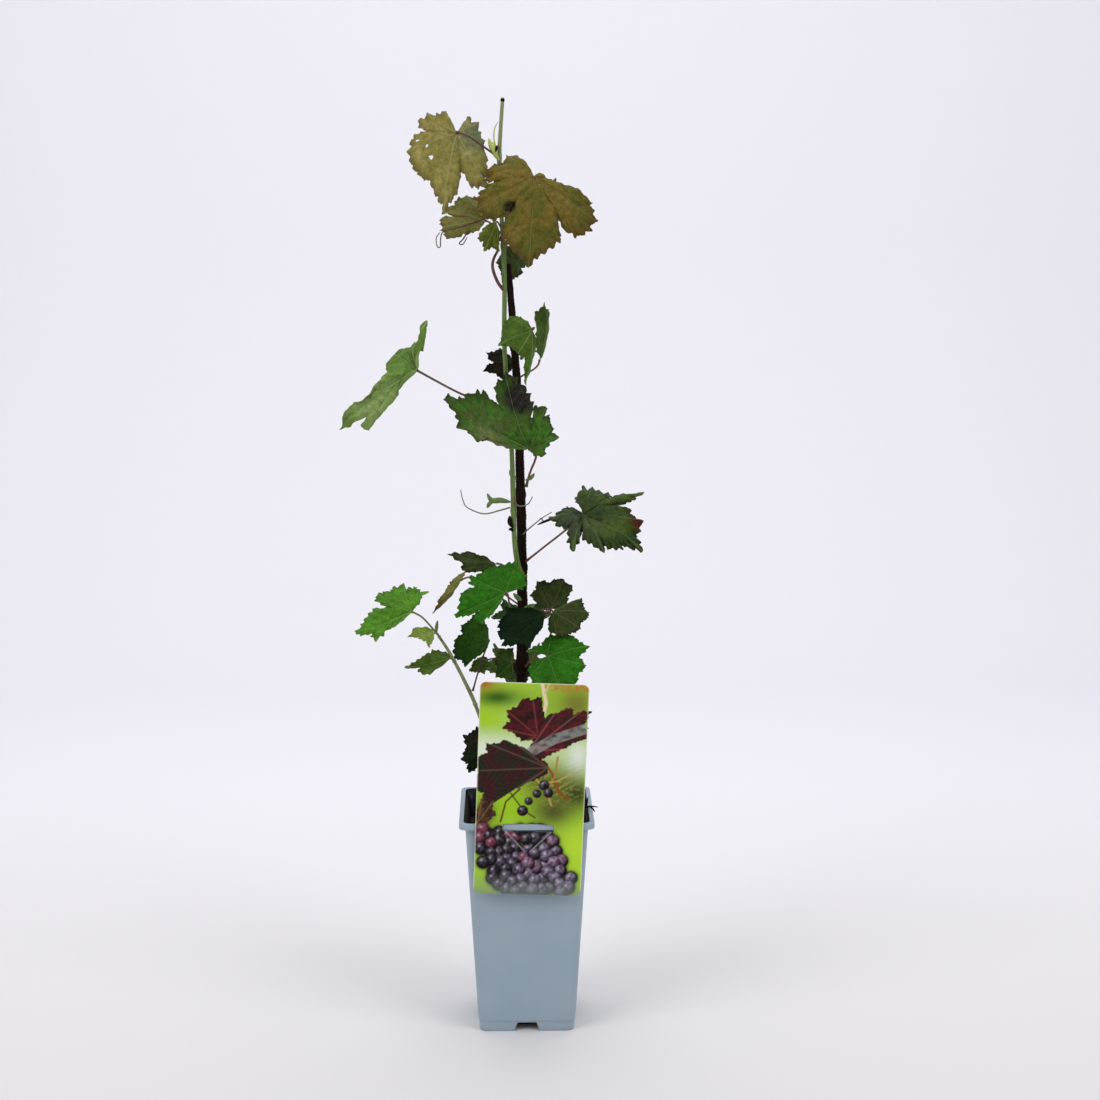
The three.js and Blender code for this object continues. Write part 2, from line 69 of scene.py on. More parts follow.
# For each leaf: its tips, counted from the place where the stalk joins, in order round the blade, and the
# depth of the cut between each tip and the next, by their length. ribs: where the main veins end, in tip
# numbers. heart: how far the rear edges swing back round the stalk. bow: how far the blade's middle is
# bowed. on: the limb that carries it. bite: how deep its teeth are. The dark spot, grey and holes: tip
# number, way out, size. The dark spot is reddening, but on leaf_top_right it is painted shadow in the
# sinus that the overlapping lobes hide; grey is a painted sheen. flip: the underside faces the front.
LEAVES = {
    "leaf_top_left": dict(
        tint="olive", on="main_shoot", flip=True, grey=(7, 0.7, 16),
        holes=((3.2, 0.6, 1.8), (2.6, 0.6, 1.2), (2.1, 0.85, 0.9)),
        lobes=((-9, 4, 18), (-34, 10, 11), (-40, 14, -5), (-41, 10, -26), (-11, -10, -63), (24, -14, -46),
               (26, -8, -23), (23, -4, -5), (9, 0, 14)),
        cuts=(0, 0.3, 0.02, 0.14, 0.5, 0, 0.08, 0), ribs=(0.6, 2.5, 4, 5.1, 7.6), heart=(0.05, 0.05)),
    "leaf_top_right": dict(
        # its dark spot is painted shadow: near black, in the sinus that the overlapping lobes hide
        tint="bronze", on="main_shoot", reddening_and_shade=(4.45, 1.0, 6.5), holes=((7.5, 0.28, 0.8),),
        lobes=((-7, 10, 12), (-16, 12, 20), (-40, 4, 5), (-49, -6, -19), (-42, -10, -35), (-25, -14, -56),
               (-5, -14, -73), (21, -6, -55), (37, 4, -51), (49, 8, -45), (51, 12, -31), (47, 14, -18),
               (38, 14, -11), (26, 11, -9), (5, 2, 3)),
        cuts=(0, 0.05, 0.22, 0, 0.45, 0, 0, 0.44, 0, 0, 0, 0, 0.1, 0.03), ribs=(1.2, 3.5, 6, 9.6, 12.6),
        heart=(0.05, 0.05)),
    "leaf_top_behind": dict(
        tint="pale_olive", on="main_shoot", flip=True,
        lobes=((-8, 22, 20), (-23, 24, 21), (-38, 26, 9), (-40, 18, 0), (-34, 0, -16), (-6, -8, -9)),
        cuts=(0, 0.05, 0.38, 0, 0.12), ribs=(0.6, 2.2, 3.5, 4.6), heart=(0.1, 0.1)),
    "leaf_top_small": dict(
        tint="olive_green", on="main_shoot",
        lobes=((-11, -2, -5), (-16, -4, -14), (-10, -8, -24), (2, -6, -24)),
        cuts=(0.05, 0.12, 0.12), ribs=(0.6, 2, 3)),
    "leaf_upper_dark": dict(
        tint="dark_olive", on="main_shoot",
        lobes=((-8, 4, -14), (-3, 8, -35), (11, 14, -26), (18, 16, -15), (12, 20, -3)),
        cuts=(0.03, 0.06, 0.05, 0.03), ribs=(0, 1, 2.3, 3.6)),
    "leaf_mid_edge": dict(
        tint="green", on="trunk", bite=0.35,
        lobes=((-3, 22, 24), (-4, 14, 40), (4, 0, 50), (8, -16, 43), (5, -22, 23)),
        cuts=(0.02, 0.06, 0.03, 0.02), ribs=(0.5, 2, 3.5)),
    "leaf_mid_fold": dict(
        tint="green", on="main_shoot",
        lobes=((-14, 14, 12), (-24, 6, 7), (-28, -6, -12), (-12, -12, -19), (-6, -8, -45), (2, 4, -19)),
        cuts=(0.02, 0.06, 0.06, 0.28, 0.1), ribs=(0.5, 2, 3, 4)),
    "leaf_mid_dark": dict(
        tint="black_green", on="trunk",
        lobes=((-10, -6, -13), (-26, -14, -6), (-23, -4, 9), (-12, 8, 12)),
        cuts=(0.1, 0.28, 0.05), ribs=(0, 1, 2, 3)),
    "leaf_left_long": dict(
        tint="light_green", on="main_shoot", bite=0.45, grey=(0.5, 0.8, 30),
        lobes=((-41, -34, -48), (-67, -22, -47), (-55, -10, -27), (-32, 2, -11), (-27, 14, 2),
               (-19, 26, 18), (-4, 32, 23), (9, 6, 41)),
        cuts=(0.2, 0, 0, 0.16, 0, 0, 0.5), ribs=(0.1, 1, 4.6, 6, 7), heart=(0.05, 0.1), bow=(-4, 0, 6)),
    "leaf_centre": dict(
        tint="deep_green", on="main_shoot", reddening_and_shade=(5.4, 0.8, 17), grey=(-0.4, 0.95, 15),
        lobes=((-47, -24, 13), (-58, -22, 22), (-73, -12, 45), (-44, 4, 49), (-25, 18, 58), (-13, 24, 61),
               (-1, 20, 43), (10, 8, 36), (19, 2, 24), (22, -6, 10), (13, -14, -7)),
        cuts=(0, 0.06, 0.05, 0.3, 0, 0, 0.48, 0.02, 0.04, 0.12), ribs=(1, 2.2, 4.6, 7.3, 9),
        heart=(0, 0.1), bow=(0, -6, 0)),
    "leaf_right": dict(
        tint="dusky", on="trunk", reddening_and_shade=(7, 0.95, 10), grey=(1.5, 0.7, 24),
        lobes=((-14, 6, 6), (-27, -6, -2), (-9, -16, -27), (5, -20, -21), (14, -22, -28), (27, -20, -27),
               (50, -12, -29), (50, -2, -6), (42, 2, 3), (52, 22, 16), (22, 24, 17), (0, 20, 23),
               (-5, 14, 12)),
        cuts=(0, 0.32, 0.55, 0.05, 0.1, 0.1, 0.04, 0.05, 0.5, 0.68, 0.03, 0.02),
        ribs=(1, 2, 4.2, 6, 7, 9, 10.6), heart=(0, 0), bow=(0, -4, 3)),
    "leaf_lower_behind": dict(
        tint="dark_olive", on="trunk",
        lobes=((-12, 0, -8), (-28, -4, -7), (-42, 2, 8), (-27, 20, 7)),
        cuts=(0.05, 0.14, 0), ribs=(0.5, 1.2, 2)),
    "leaf_lower_edge": dict(
        tint="pale_olive", on="trunk",
        lobes=((-8, -12, -8), (-25, -4, -28), (-8, 10, -1), (4, 16, 6)),
        cuts=(0.02, 0.05, 0.02), ribs=(1, 2.5), heart=(0.1, 0)),
    "leaf_bright": dict(
        tint="bright", on="trunk",
        lobes=((-13, -14, -19), (-25, -16, -23), (-42, -10, -19), (-39, -2, 0), (-31, 8, 11),
               (-14, 12, 20), (9, 14, 24), (18, 10, 12), (16, 4, 3)),
        cuts=(0, 0.32, 0, 0.24, 0.04, 0.03, 0.04, 0), ribs=(0.7, 2.1, 4.1, 6, 7.6), heart=(0.1, 0.1)),
    "leaf_shoot_tip": dict(
        tint="fresh", on="side_shoot",
        lobes=((-30, -20, -20), (-47, -10, -18), (-36, 2, 0), (-31, 14, 11), (-11, 24, 18), (2, 22, 19),
               (13, 14, 15)),
        cuts=(0.12, 0, 0.36, 0.03, 0.1, 0.03), ribs=(0, 1.1, 3.1, 4.2, 6), heart=(0.05, 0.1), bow=(0, -4, 2)),
    "leaf_shoot_small": dict(
        tint="young", on="side_shoot",
        lobes=((-4, -8, -10), (-12, -6, -4), (-22, -4, -2), (-18, 2, 4), (-6, 8, 4)),
        cuts=(0.2, 0.25, 0.05, 0.05), ribs=(0, 2, 3.2)),
    "leaf_shoot_low": dict(
        tint="green", on="side_shoot",
        lobes=((-9, -7, -5), (-18, -9, -12), (-27, -7, -10.5), (-38, -2, -7), (-18, 5, 4), (-12, 9, 5.5),
               (-2, 11, 3)),
        cuts=(0, 0, 0.32, 0.04, 0, 0), ribs=(1.5, 3, 4.6)),
    "leaf_lower_left": dict(
        tint="dark", on="trunk",
        lobes=((-9, -12, -12), (-21, -12, -20), (-31, -6, -15), (-31, 0, 0), (-24, 8, 12), (-11, 12, 24)),
        cuts=(0.08, 0.08, 0, 0.14, 0.05), ribs=(1, 2.4, 4, 5)),
    "leaf_lower_olive": dict(
        tint="green", on="trunk",
        lobes=((-4, -6, -11), (-17, -4, -10), (-14, 2, -2), (-5, 6, 2)),
        cuts=(0.05, 0.05, 0), ribs=(0, 1.2, 2.6)),
    "leaf_right_olive": dict(
        tint="dark_olive", on="trunk",
        lobes=((-11, 2, 1), (-18, 6, 11), (-12, 14, 22), (9, 16, 25), (20, 10, 19), (14, 4, 3)),
        cuts=(0, 0.06, 0.12, 0.05, 0.1), ribs=(1, 2, 3.2, 4.2)),
    "leaf_centre_deep": dict(
        tint="deepest", on="trunk",
        lobes=((-15, -20, -25), (-35, -20, -26), (-42, -16, -17), (-41, -6, -7), (-34, 2, 4)),
        cuts=(0.08, 0.05, 0.05, 0.1), ribs=(0, 1.2, 2.6, 4)),
    "leaf_right_dark": dict(
        tint="dark_olive", on="trunk",
        lobes=((-4, -8, -17), (8, -12, -21), (21, -12, -16), (32, -4, -3), (25, 8, 9), (7, 10, 0)),
        cuts=(0.05, 0.03, 0.06, 0.04, 0.25), ribs=(0.6, 2.2, 3.2, 4)),
    "leaf_right_bright": dict(
        tint="bright", on="trunk",
        lobes=((-18, -8, -9), (-13, -14, -24), (6, -18, -29), (25, -12, -22), (32, -8, -9), (35, 2, 8),
               (22, 10, 16), (3, 12, 16), (-17, 4, 4)),
        cuts=(0.05, 0.12, 0.1, 0.08, 0.22, 0.05, 0.03, 0.25), ribs=(0.5, 2.2, 4.1, 5, 7, 8),
        heart=(0.1, 0.1)),
    "leaf_low_small": dict(
        tint="leafy", on="trunk",
        lobes=((2, -8, -14), (-14, -4, -12), (-15, 4, 2), (-9, 8, 11), (1, 10, 11)),
        cuts=(0.05, 0.12, 0.05, 0.03), ribs=(0, 1, 2.5, 4)),
    "leaf_foot_left": dict(
        tint="black_green", on="trunk",
        lobes=((-10, 6, -22), (-20, 2, -25), (-25, 0, -12), (-23, 4, 8), (-12, 8, 14)),
        cuts=(0.05, 0.12, 0.15, 0.05), ribs=(0.5, 2, 3, 4)),
    "leaf_foot_right": dict(
        tint="maroon", on="trunk", flip=True,
        lobes=((30, -4, 9), (27, 6, -8), (20, 12, -27), (-6, 8, -24), (2, -14, 18))),
    "leaf_foot_front": dict(
        tint="dark", on="trunk",
        lobes=((-20, 10, 14), (-26, -6, -14), (4, -18, -36), (24, -4, -12), (16, 10, 14))),
    "leaf_foot_behind": dict(
        tint="deep_green", on="trunk", flip=True,
        lobes=((-20, -4, 14), (-28, 10, -10), (2, 22, -34), (30, 12, -8), (20, -4, 14))),
    "leaf_back_low": dict(
        tint="green", on="trunk", flip=True,
        lobes=((-20, 0, 14), (-28, 12, -10), (0, 26, -36), (28, 14, -10), (20, 0, 14))),
    "leaf_back_middle": dict(
        tint="dark", on="trunk", flip=True,
        lobes=((-18, -2, 10), (-28, 10, -8), (2, 24, -26), (26, 14, -8), (18, 0, 8))),
    "leaf_back_centre": dict(
        tint="deep_green", on="main_shoot", flip=True,
        lobes=((-18, 0, 12), (-36, 12, -6), (-4, 26, -30), (26, 12, -14), (18, 0, 8))),
    "leaf_back_top": dict(
        tint="bronze", on="main_shoot", flip=True,
        lobes=((-20, -2, 12), (-36, 12, -12), (4, 26, -46), (38, 14, -16), (22, 0, 10))),
}

# The woody limbs, from the foot up: middle line and radius. The two shoots grow out of the trunk.
LIMBS = {
    "trunk": dict(
        line=((-3, 8, 177.4), (-3, 8, 188), (-3, 8, 250), (-4, 8, 312), (-3, 8, 328), (-3, 8, 387),
              (-4, 8, 468), (-7, 8, 572), (-12, 8, 650), (-15, 8, 686)),
        radii=(6.5, 5.2, 4.6, 4.4, 5.4, 4.2, 3.9, 3.4, 2.9, 2.4)),
    "main_shoot": dict(
        line=((-3.5, 7, 411), (-7, 0, 421), (-10, -4, 444), (-11, -6, 482), (-13, -6, 542), (-18, -6, 610),
              (-18, -6, 677), (-21, -6, 741), (-22, -6, 779), (-19, -6, 827)),
        radii=(2.9, 2.4, 2.1, 2.3, 2, 2, 2, 1.8, 1.9, 1.5)),
    "side_shoot": dict(
        line=((-4, 7, 197), (-9.5, 4, 205), (-22, 0, 224), (-42, -12, 286), (-50, -16, 308), (-66, -24, 343),
              (-77, -28, 362)),
        radii=(2.6, 2, 1.7, 1.6, 1.8, 1.4, 1.2)),
}

# The long leaf stalks that are CAD nodes, from the stem out, and the leaf each one carries.
LONG_STALKS = {
    "stalk_top_left": (
        "leaf_top_left", ((-24.5, -8.5, 778), (-36, -17, 786), (-48, -22, 794), (-57.5, -14, 798))),
    "stalk_top_right": (
        "leaf_top_right", ((-21, -9.5, 708), (-17, -16, 722), (-7, -28, 745), (5, -37.5, 756))),
    "stalk_left_long": (
        "leaf_left_long", ((-20, -7, 560), (-41, -8, 568), (-60, -12, 576), (-91.5, -16, 593.5))),
    "stalk_centre": ("leaf_centre", ((1, 4, 492), (4, -4, 504), (9, -20, 520), (5, -37, 528.5))),
    "stalk_right": (
        "leaf_right", ((1.5, 4, 424), (16, -4, 437), (30, -10, 449), (41, -14, 458.5), (48, -18, 465))),
    "stalk_bright": ("leaf_bright", ((-8.5, 3, 372), (-13, -6, 381), (-15, -22, 391), (-16, -33.5, 399.5))),
    "stalk_shoot_tip": ("leaf_shoot_tip", ((-78.8, -28.5, 364.5), (-90, -30, 378), (-97.5, -30, 383))),
    "stalk_side": ("leaf_lower_left", ((-47.2, -11.5, 310), (-40, 3, 332), (-33.5, 3, 349.5))),
}

CARRIED = dict(LONG_STALKS.values())
STALK_ROOT = 1.8  # how far a long stalk starts inside its limb

# Tendrils, the last two dark red, and the dark red stub of a cut side shoot near the top.
TENDRILS = (
    ((-14, -6, 473), (-23, -10, 471), (-37, -16, 469), (-51, -20, 475), (-55, -22, 482), (-57, -22, 491)),
    ((-13, -6, 480), (-6, -10, 475), (1, -10, 476), (4, -9, 479), (6, -8, 483)),
    ((-4, 6, 446), (6, -2, 456), (14, -5, 463), (23, -8, 469)),
    ((-30, 0, 727), (-52, -2, 719), (-70, -2, 714), (-73, -3, 708), (-73.5, -3, 701), (-76, -2, 701),
     (-77, -1, 708), (-74, 0, 713)),
    ((-46, -2, 716), (-50, -4, 713), (-54, -6, 707), (-57, -6, 704), (-54, -5, 703), (-50, -4, 709)),
)
CUT_STUB = ((-19, -6, 664), (-24, -9, 671), (-28, -11, 682), (-27.5, -11, 690), (-23, -9, 699))

# Buds by piece, with the line and radius of each: pale buds and folded leaves at the joints, small folded
# leaves lower down, and brown buds, cut ends and dead twigs.
BUDS = {
    "young_buds": (
        (((-22, -8, 774), (-26, -10, 780), (-29, -11, 786), (-31, -10, 793)), 2.2),
        (((-24, -9, 779), (-27, -11, 784), (-27, -10, 790)), 1.7),
        (((-24, -7, 782), (-26.5, -7, 792), (-26, -6, 801), (-23, -6, 807)), 0.5),
    ),
    "green_buds": (
        (((-13, -7, 478), (-22, -10, 480), (-30, -9, 480), (-34, -8, 486)), 2.4),
        (((-28, -9, 480), (-32, -10, 477), (-34, -9, 473)), 1.7),
        (((-4, 2, 388), (-8, -4, 392), (-11, -6, 396)), 2.0),
        (((-2, 2, 380), (3, -4, 383), (8, -6, 386)), 2.2),
        (((-79, -28, 364), (-79, -28, 369), (-78, -28, 376)), 1.4),
        (((-8, 2, 497), (-12, -2, 501), (-14, -3, 506)), 1.8),
        (((0, 2, 496), (5, -1, 499), (8, -2, 503)), 1.6),
    ),
    "brown_buds": (
        (((-25, -12, 781), (-24.5, -12, 784), (-24, -11.5, 787)), 0.9),
        (((-11, -7, 455), (-14, -8, 460), (-14, -7, 466)), 2.0),
        (((-11, -7, 452), (-13, -8, 454), (-15, -8, 453)), 1.3),
        (((-2, 3, 321), (-7, 1, 325), (-11, 0, 330)), 3.0),
        (((2, 3, 318), (7, 0, 322), (10, -1, 327)), 2.2),
        (((10, -20, 459.5), (17, -22, 463), (27, -24, 467)), 1.0),
        (((16, -22, 462), (14, -22, 465), (12, -22, 466)), 0.35),
        (((41, -6, 187), (50, -9, 197), (57, -11, 200.4), (65, -12, 200.2)), 0.8),
        (((54, -9.5, 199), (55, -8, 204), (56, -7, 208)), 0.8),
        (((57, -11, 200.5), (60, -13, 199), (62, -14, 196)), 0.6),
        (((-19.2, -6, 822.5), (-19.1, -6, 825), (-19, -6, 827.3)), 1.75),
    ),
}


# ---------------------------------------------------------------- small tools


def unit(vectors):
    """Vectors brought to length one: v / |v|."""
    return vectors / np.linalg.norm(vectors, axis=-1, keepdims=True)


def linear(hex_colour):
    """An sRGB hex colour as linear RGBA: c/12.92 below 0.04045, else ((c+0.055)/1.055)^2.4."""
    value = int(hex_colour.lstrip("#"), 16)
    srgb = np.array([value >> 16, value >> 8 & 255, value & 255]) / 255
    rgb = np.where(srgb <= 0.04045, srgb / 12.92, ((srgb + 0.055) / 1.055) ** 2.4)
    return (*rgb.tolist(), 1.0)


def wobble(points, size, seed, waves=14):
    """Smooth seeded noise near -1..1: the mean of sine waves that run in scattered directions,
    each about `size` long."""
    rng = np.random.default_rng(seed)
    points = np.asarray(points, float)
    ways = unit(rng.normal(size=(waves, points.shape[-1])))
    rates = 2 * np.pi / size * rng.uniform(0.6, 1.5, waves)
    phases = rng.uniform(0, 2 * np.pi, waves)
    return np.sin(points @ (ways * rates[:, None]).T + phases).sum(-1) / math.sqrt(waves)


def catmull(points, where):
    """A smooth curve through the rows of `points`, at the positions `where` counted in rows (Catmull-Rom)."""
    points = np.asarray(points, float)
    padded = np.vstack([2 * points[0] - points[1], points, 2 * points[-1] - points[-2]])
    row = np.clip(where.astype(int), 0, len(points) - 2)
    t = (where - row)[:, None]
    a, b, c, d = padded[row], padded[row + 1], padded[row + 2], padded[row + 3]
    return 0.5 * (2 * b + (c - a) * t + (2 * a - 5 * b + 4 * c - d) * t**2 + (3 * b - a - 3 * c + d) * t**3)


def run_along(points):
    """How far each point of a line lies from its first: the running sum of |p(i+1) - p(i)|."""
    return np.concatenate([[0], np.cumsum(np.linalg.norm(np.diff(points, axis=0), axis=1))])


def make_piece(name, points, faces, materials, nodes=(), uvs=None, values=None, face_material=None,
               sharp=40, colours=None):
    """Turns arrays into a shaded mesh piece that rides on the body. `points` are in millimetres; `faces` is a
    list of index arrays, each with its own number of corners; `uvs` holds one (corners, 2) array per map and
    `values` one number per point; `colours` one linear colour per point, read as "picture"."""
    corners = np.concatenate([block.ravel() for block in faces])
    totals = np.concatenate([np.full(len(block), block.shape[1]) for block in faces])
    starts = np.concatenate([[0], np.cumsum(totals)[:-1]])
    mesh = bpy.data.meshes.new(name)
    mesh.vertices.add(len(points))
    mesh.vertices.foreach_set("co", (np.asarray(points) * MM).astype(np.float32).ravel())
    mesh.loops.add(len(corners))
    mesh.loops.foreach_set("vertex_index", corners.astype(np.int32))
    mesh.polygons.add(len(totals))
    mesh.polygons.foreach_set("loop_start", starts.astype(np.int32))
    if face_material is not None:
        mesh.polygons.foreach_set("material_index", face_material.astype(np.int32))
    mesh.update(calc_edges=True)
    for key, layer in (uvs or {}).items():
        mesh.uv_layers.new(name=key).data.foreach_set("uv", layer.astype(np.float32).ravel())
    for key, layer in (values or {}).items():
        mesh.attributes.new(key, "FLOAT", "POINT").data.foreach_set("value", layer.astype(np.float32))
    if colours is not None:
        layer = mesh.attributes.new("picture", "FLOAT_COLOR", "POINT")
        layer.data.foreach_set("color", colours.astype(np.float32).ravel())
    mesh.polygons.foreach_set("use_smooth", np.ones(len(totals), bool))
    mesh.set_sharp_from_angle(angle=math.radians(sharp))
    for material in materials:
        mesh.materials.append(material)
    piece = bpy.data.objects.new(name, mesh)
    bpy.context.scene.collection.objects.link(piece)
    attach(piece, BODY)
    if nodes:
        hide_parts(*nodes)
    return piece


def grid_faces(rows, columns, start=0, closed=False):
    """Quads over a grid of rows by columns of points, joined round its columns where it is closed."""
    across = columns if closed else columns - 1
    row, column = np.meshgrid(np.arange(rows - 1), np.arange(across), indexing="ij")
    after = (column + 1) % columns
    here, above = row * columns, (row + 1) * columns
    corners = (here + column, here + after, above + after, above + column)
    return start + np.stack([c.ravel() for c in corners], 1)


def closed_tube(rings):
    """Faces of a tube over (rings, sides) points, with a middle point added to close each end."""
    count, sides = rings.shape[:2]
    points = np.vstack([rings.reshape(-1, 3), rings[0].mean(0), rings[-1].mean(0)])
    ring = np.arange(sides)
    after = (ring + 1) % sides
    last = (count - 1) * sides
    foot, head = count * sides, count * sides + 1
    caps = np.vstack([
        np.stack([np.full(sides, foot), after, ring], 1),
        np.stack([np.full(sides, head), last + ring, last + after], 1),
    ])
    return points, [grid_faces(count, sides, closed=True), caps]


def join(parts):
    """Joins (points, [face arrays]) pairs into one, keeping faces of the same size together."""
    points, blocks, start = [], {}, 0
    for part_points, faces in parts:
        points.append(part_points)
        for block in faces:
            blocks.setdefault(block.shape[1], []).append(block + start)
        start += len(part_points)
    return np.vstack(points), [np.vstack(blocks[size]) for size in sorted(blocks)]


def rim_edges(faces):
    """The edges that only one face has, in that face's direction."""
    edges = np.vstack([np.stack([block, np.roll(block, -1, 1)], 2).reshape(-1, 2) for block in faces])
    key = np.sort(edges, 1) @ np.array([1 << 32, 1])
    _, first, count = np.unique(key, return_index=True, return_counts=True)
    return edges[first[count == 1]]


# ---------------------------------------------------------------- materials


def add_node(tree, kind, inputs=(), output=0, **settings):
    """Adds one shader node with its settings, and gives one of its outputs. Its inputs, in order or by name,
    are values or sockets to link."""
    node = tree.nodes.new("ShaderNode" + kind)
    for key, value in settings.items():
        setattr(node, key, value)
    for key, value in (inputs if isinstance(inputs, dict) else dict(enumerate(inputs))).items():
        if isinstance(value, bpy.types.NodeSocket):
            tree.links.new(value, node.inputs[key])
        else:
            node.inputs[key].default_value = value
    return node.outputs[output]


def layered(tree, colour, rows):
    """A colour with others laid over it in turn. Each row has a value, the ends between which its colour
    comes in, the colour's greatest share and the colour; it comes in smoothly, or straight where the row
    says so."""
    for value, low, high, share, over, *way in rows:
        settings = {"interpolation_type": way[0] if way else "SMOOTHSTEP"}
        cover = add_node(tree, "MapRange", (value, low, high, 0.0, share), **settings)
        colour = add_node(tree, "Mix", {0: cover, 6: colour, 7: linear(over)}, 2, data_type="RGBA")
    return colour


def new_material(name):
    """An empty material with its node tree, shader and object coordinates."""
    material = bpy.data.materials.new(name)
    material.use_nodes = True
    tree = material.node_tree
    return material, tree, tree.nodes["Principled BSDF"], add_node(tree, "TexCoord", output="Object")


def finish_material(tree, shader, colour, roughness, height=None, depth=0.0002, strength=1.0):
    """Links colour, roughness and a bump of `depth` metres to the shader."""
    tree.links.new(colour, shader.inputs["Base Color"])
    tree.links.new(roughness, shader.inputs["Roughness"])
    if height is not None:
        bump = add_node(tree, "Bump", {"Height": height, "Distance": depth, "Strength": strength})
        tree.links.new(bump, shader.inputs["Normal"])


NOISE = ("Vector", "Scale", "Detail", "Roughness")  # what each row of a table of noises gives

# Vine leaf: blade, its other patches, its veins, its rim, its dark spots, its grey spots, share of the rim.
# The blade colours also hold painted shade: a leaf that sits in shade inside the plant is given a darker
# tint, down to deepest and black_green. The dark spots are reddening, except bronze's near-black one,
# which is painted shadow; the grey spots are a painted sheen.
TINTS = {
    "olive": ("#847b38", "#9c8f50", "#a39a66", "#5d4826", "#4a3018", "#617256", 0.7),
    "pale_olive": ("#666b22", "#7a7238", "#959064", "#5b3a26", "#5b2f1c", "#6a7060", 0.6),
    "bronze": ("#57561c", "#6d5e26", "#858048", "#482c16", "#170d07", "#5a5a38", 0.7),
    "olive_green": ("#5f6a26", "#54601f", "#808846", "#45421c", "#3a2416", "#6a7050", 0.6),
    "green": ("#4a6820", "#3e591b", "#75884a", "#3a3f18", "#362414", "#5c7446", 0.5),
    "light_green": ("#5f8230", "#56742c", "#8ba264", "#4a5a26", "#3a2c18", "#7d8f56", 0.5),
    "deep_green": ("#3a641a", "#3f5420", "#64804a", "#24240f", "#20141a", "#74784c", 0.8),
    "dusky": ("#2e4218", "#47561c", "#5f7046", "#241e10", "#4a1010", "#3f4838", 0.8),
    "dark_olive": ("#2f3c15", "#3a4520", "#59633a", "#1d1a0e", "#2c1814", "#46503a", 0.8),
    "bright": ("#2c6e10", "#27600c", "#5a8a38", "#234812", "#2c2414", "#4c6f39", 0.4),
    "fresh": ("#518822", "#47781c", "#769c4c", "#3a5a1a", "#443018", "#6c8a50", 0.5),
    "young": ("#6b8a30", "#7c8a3a", "#93a866", "#5c5a26", "#5a3420", "#7a8a5a", 0.5),
    "dark": ("#244c0e", "#2a500e", "#40602c", "#141c0a", "#221410", "#2c4428", 0.7),
    "leafy": ("#26480f", "#3c4f1a", "#55733a", "#1c260c", "#221410", "#34502a", 0.6),
    "deepest": ("#081c07", "#0b2209", "#1d3616", "#0a1206", "#140c0a", "#14241a", 0.6),
    "black_green": ("#1a2610", "#241a12", "#36402a", "#120c08", "#2a0e10", "#26301f", 0.7),
    "maroon": ("#221a12", "#2c1414", "#443028", "#140c0a", "#3a1018", "#2a2420", 0.7),
}
VEIN_PITCH = 9.0  # millimetres between side veins on a large leaf
VEIN_SLOPE = 0.84  # side veins leave the main vein at 50 degrees


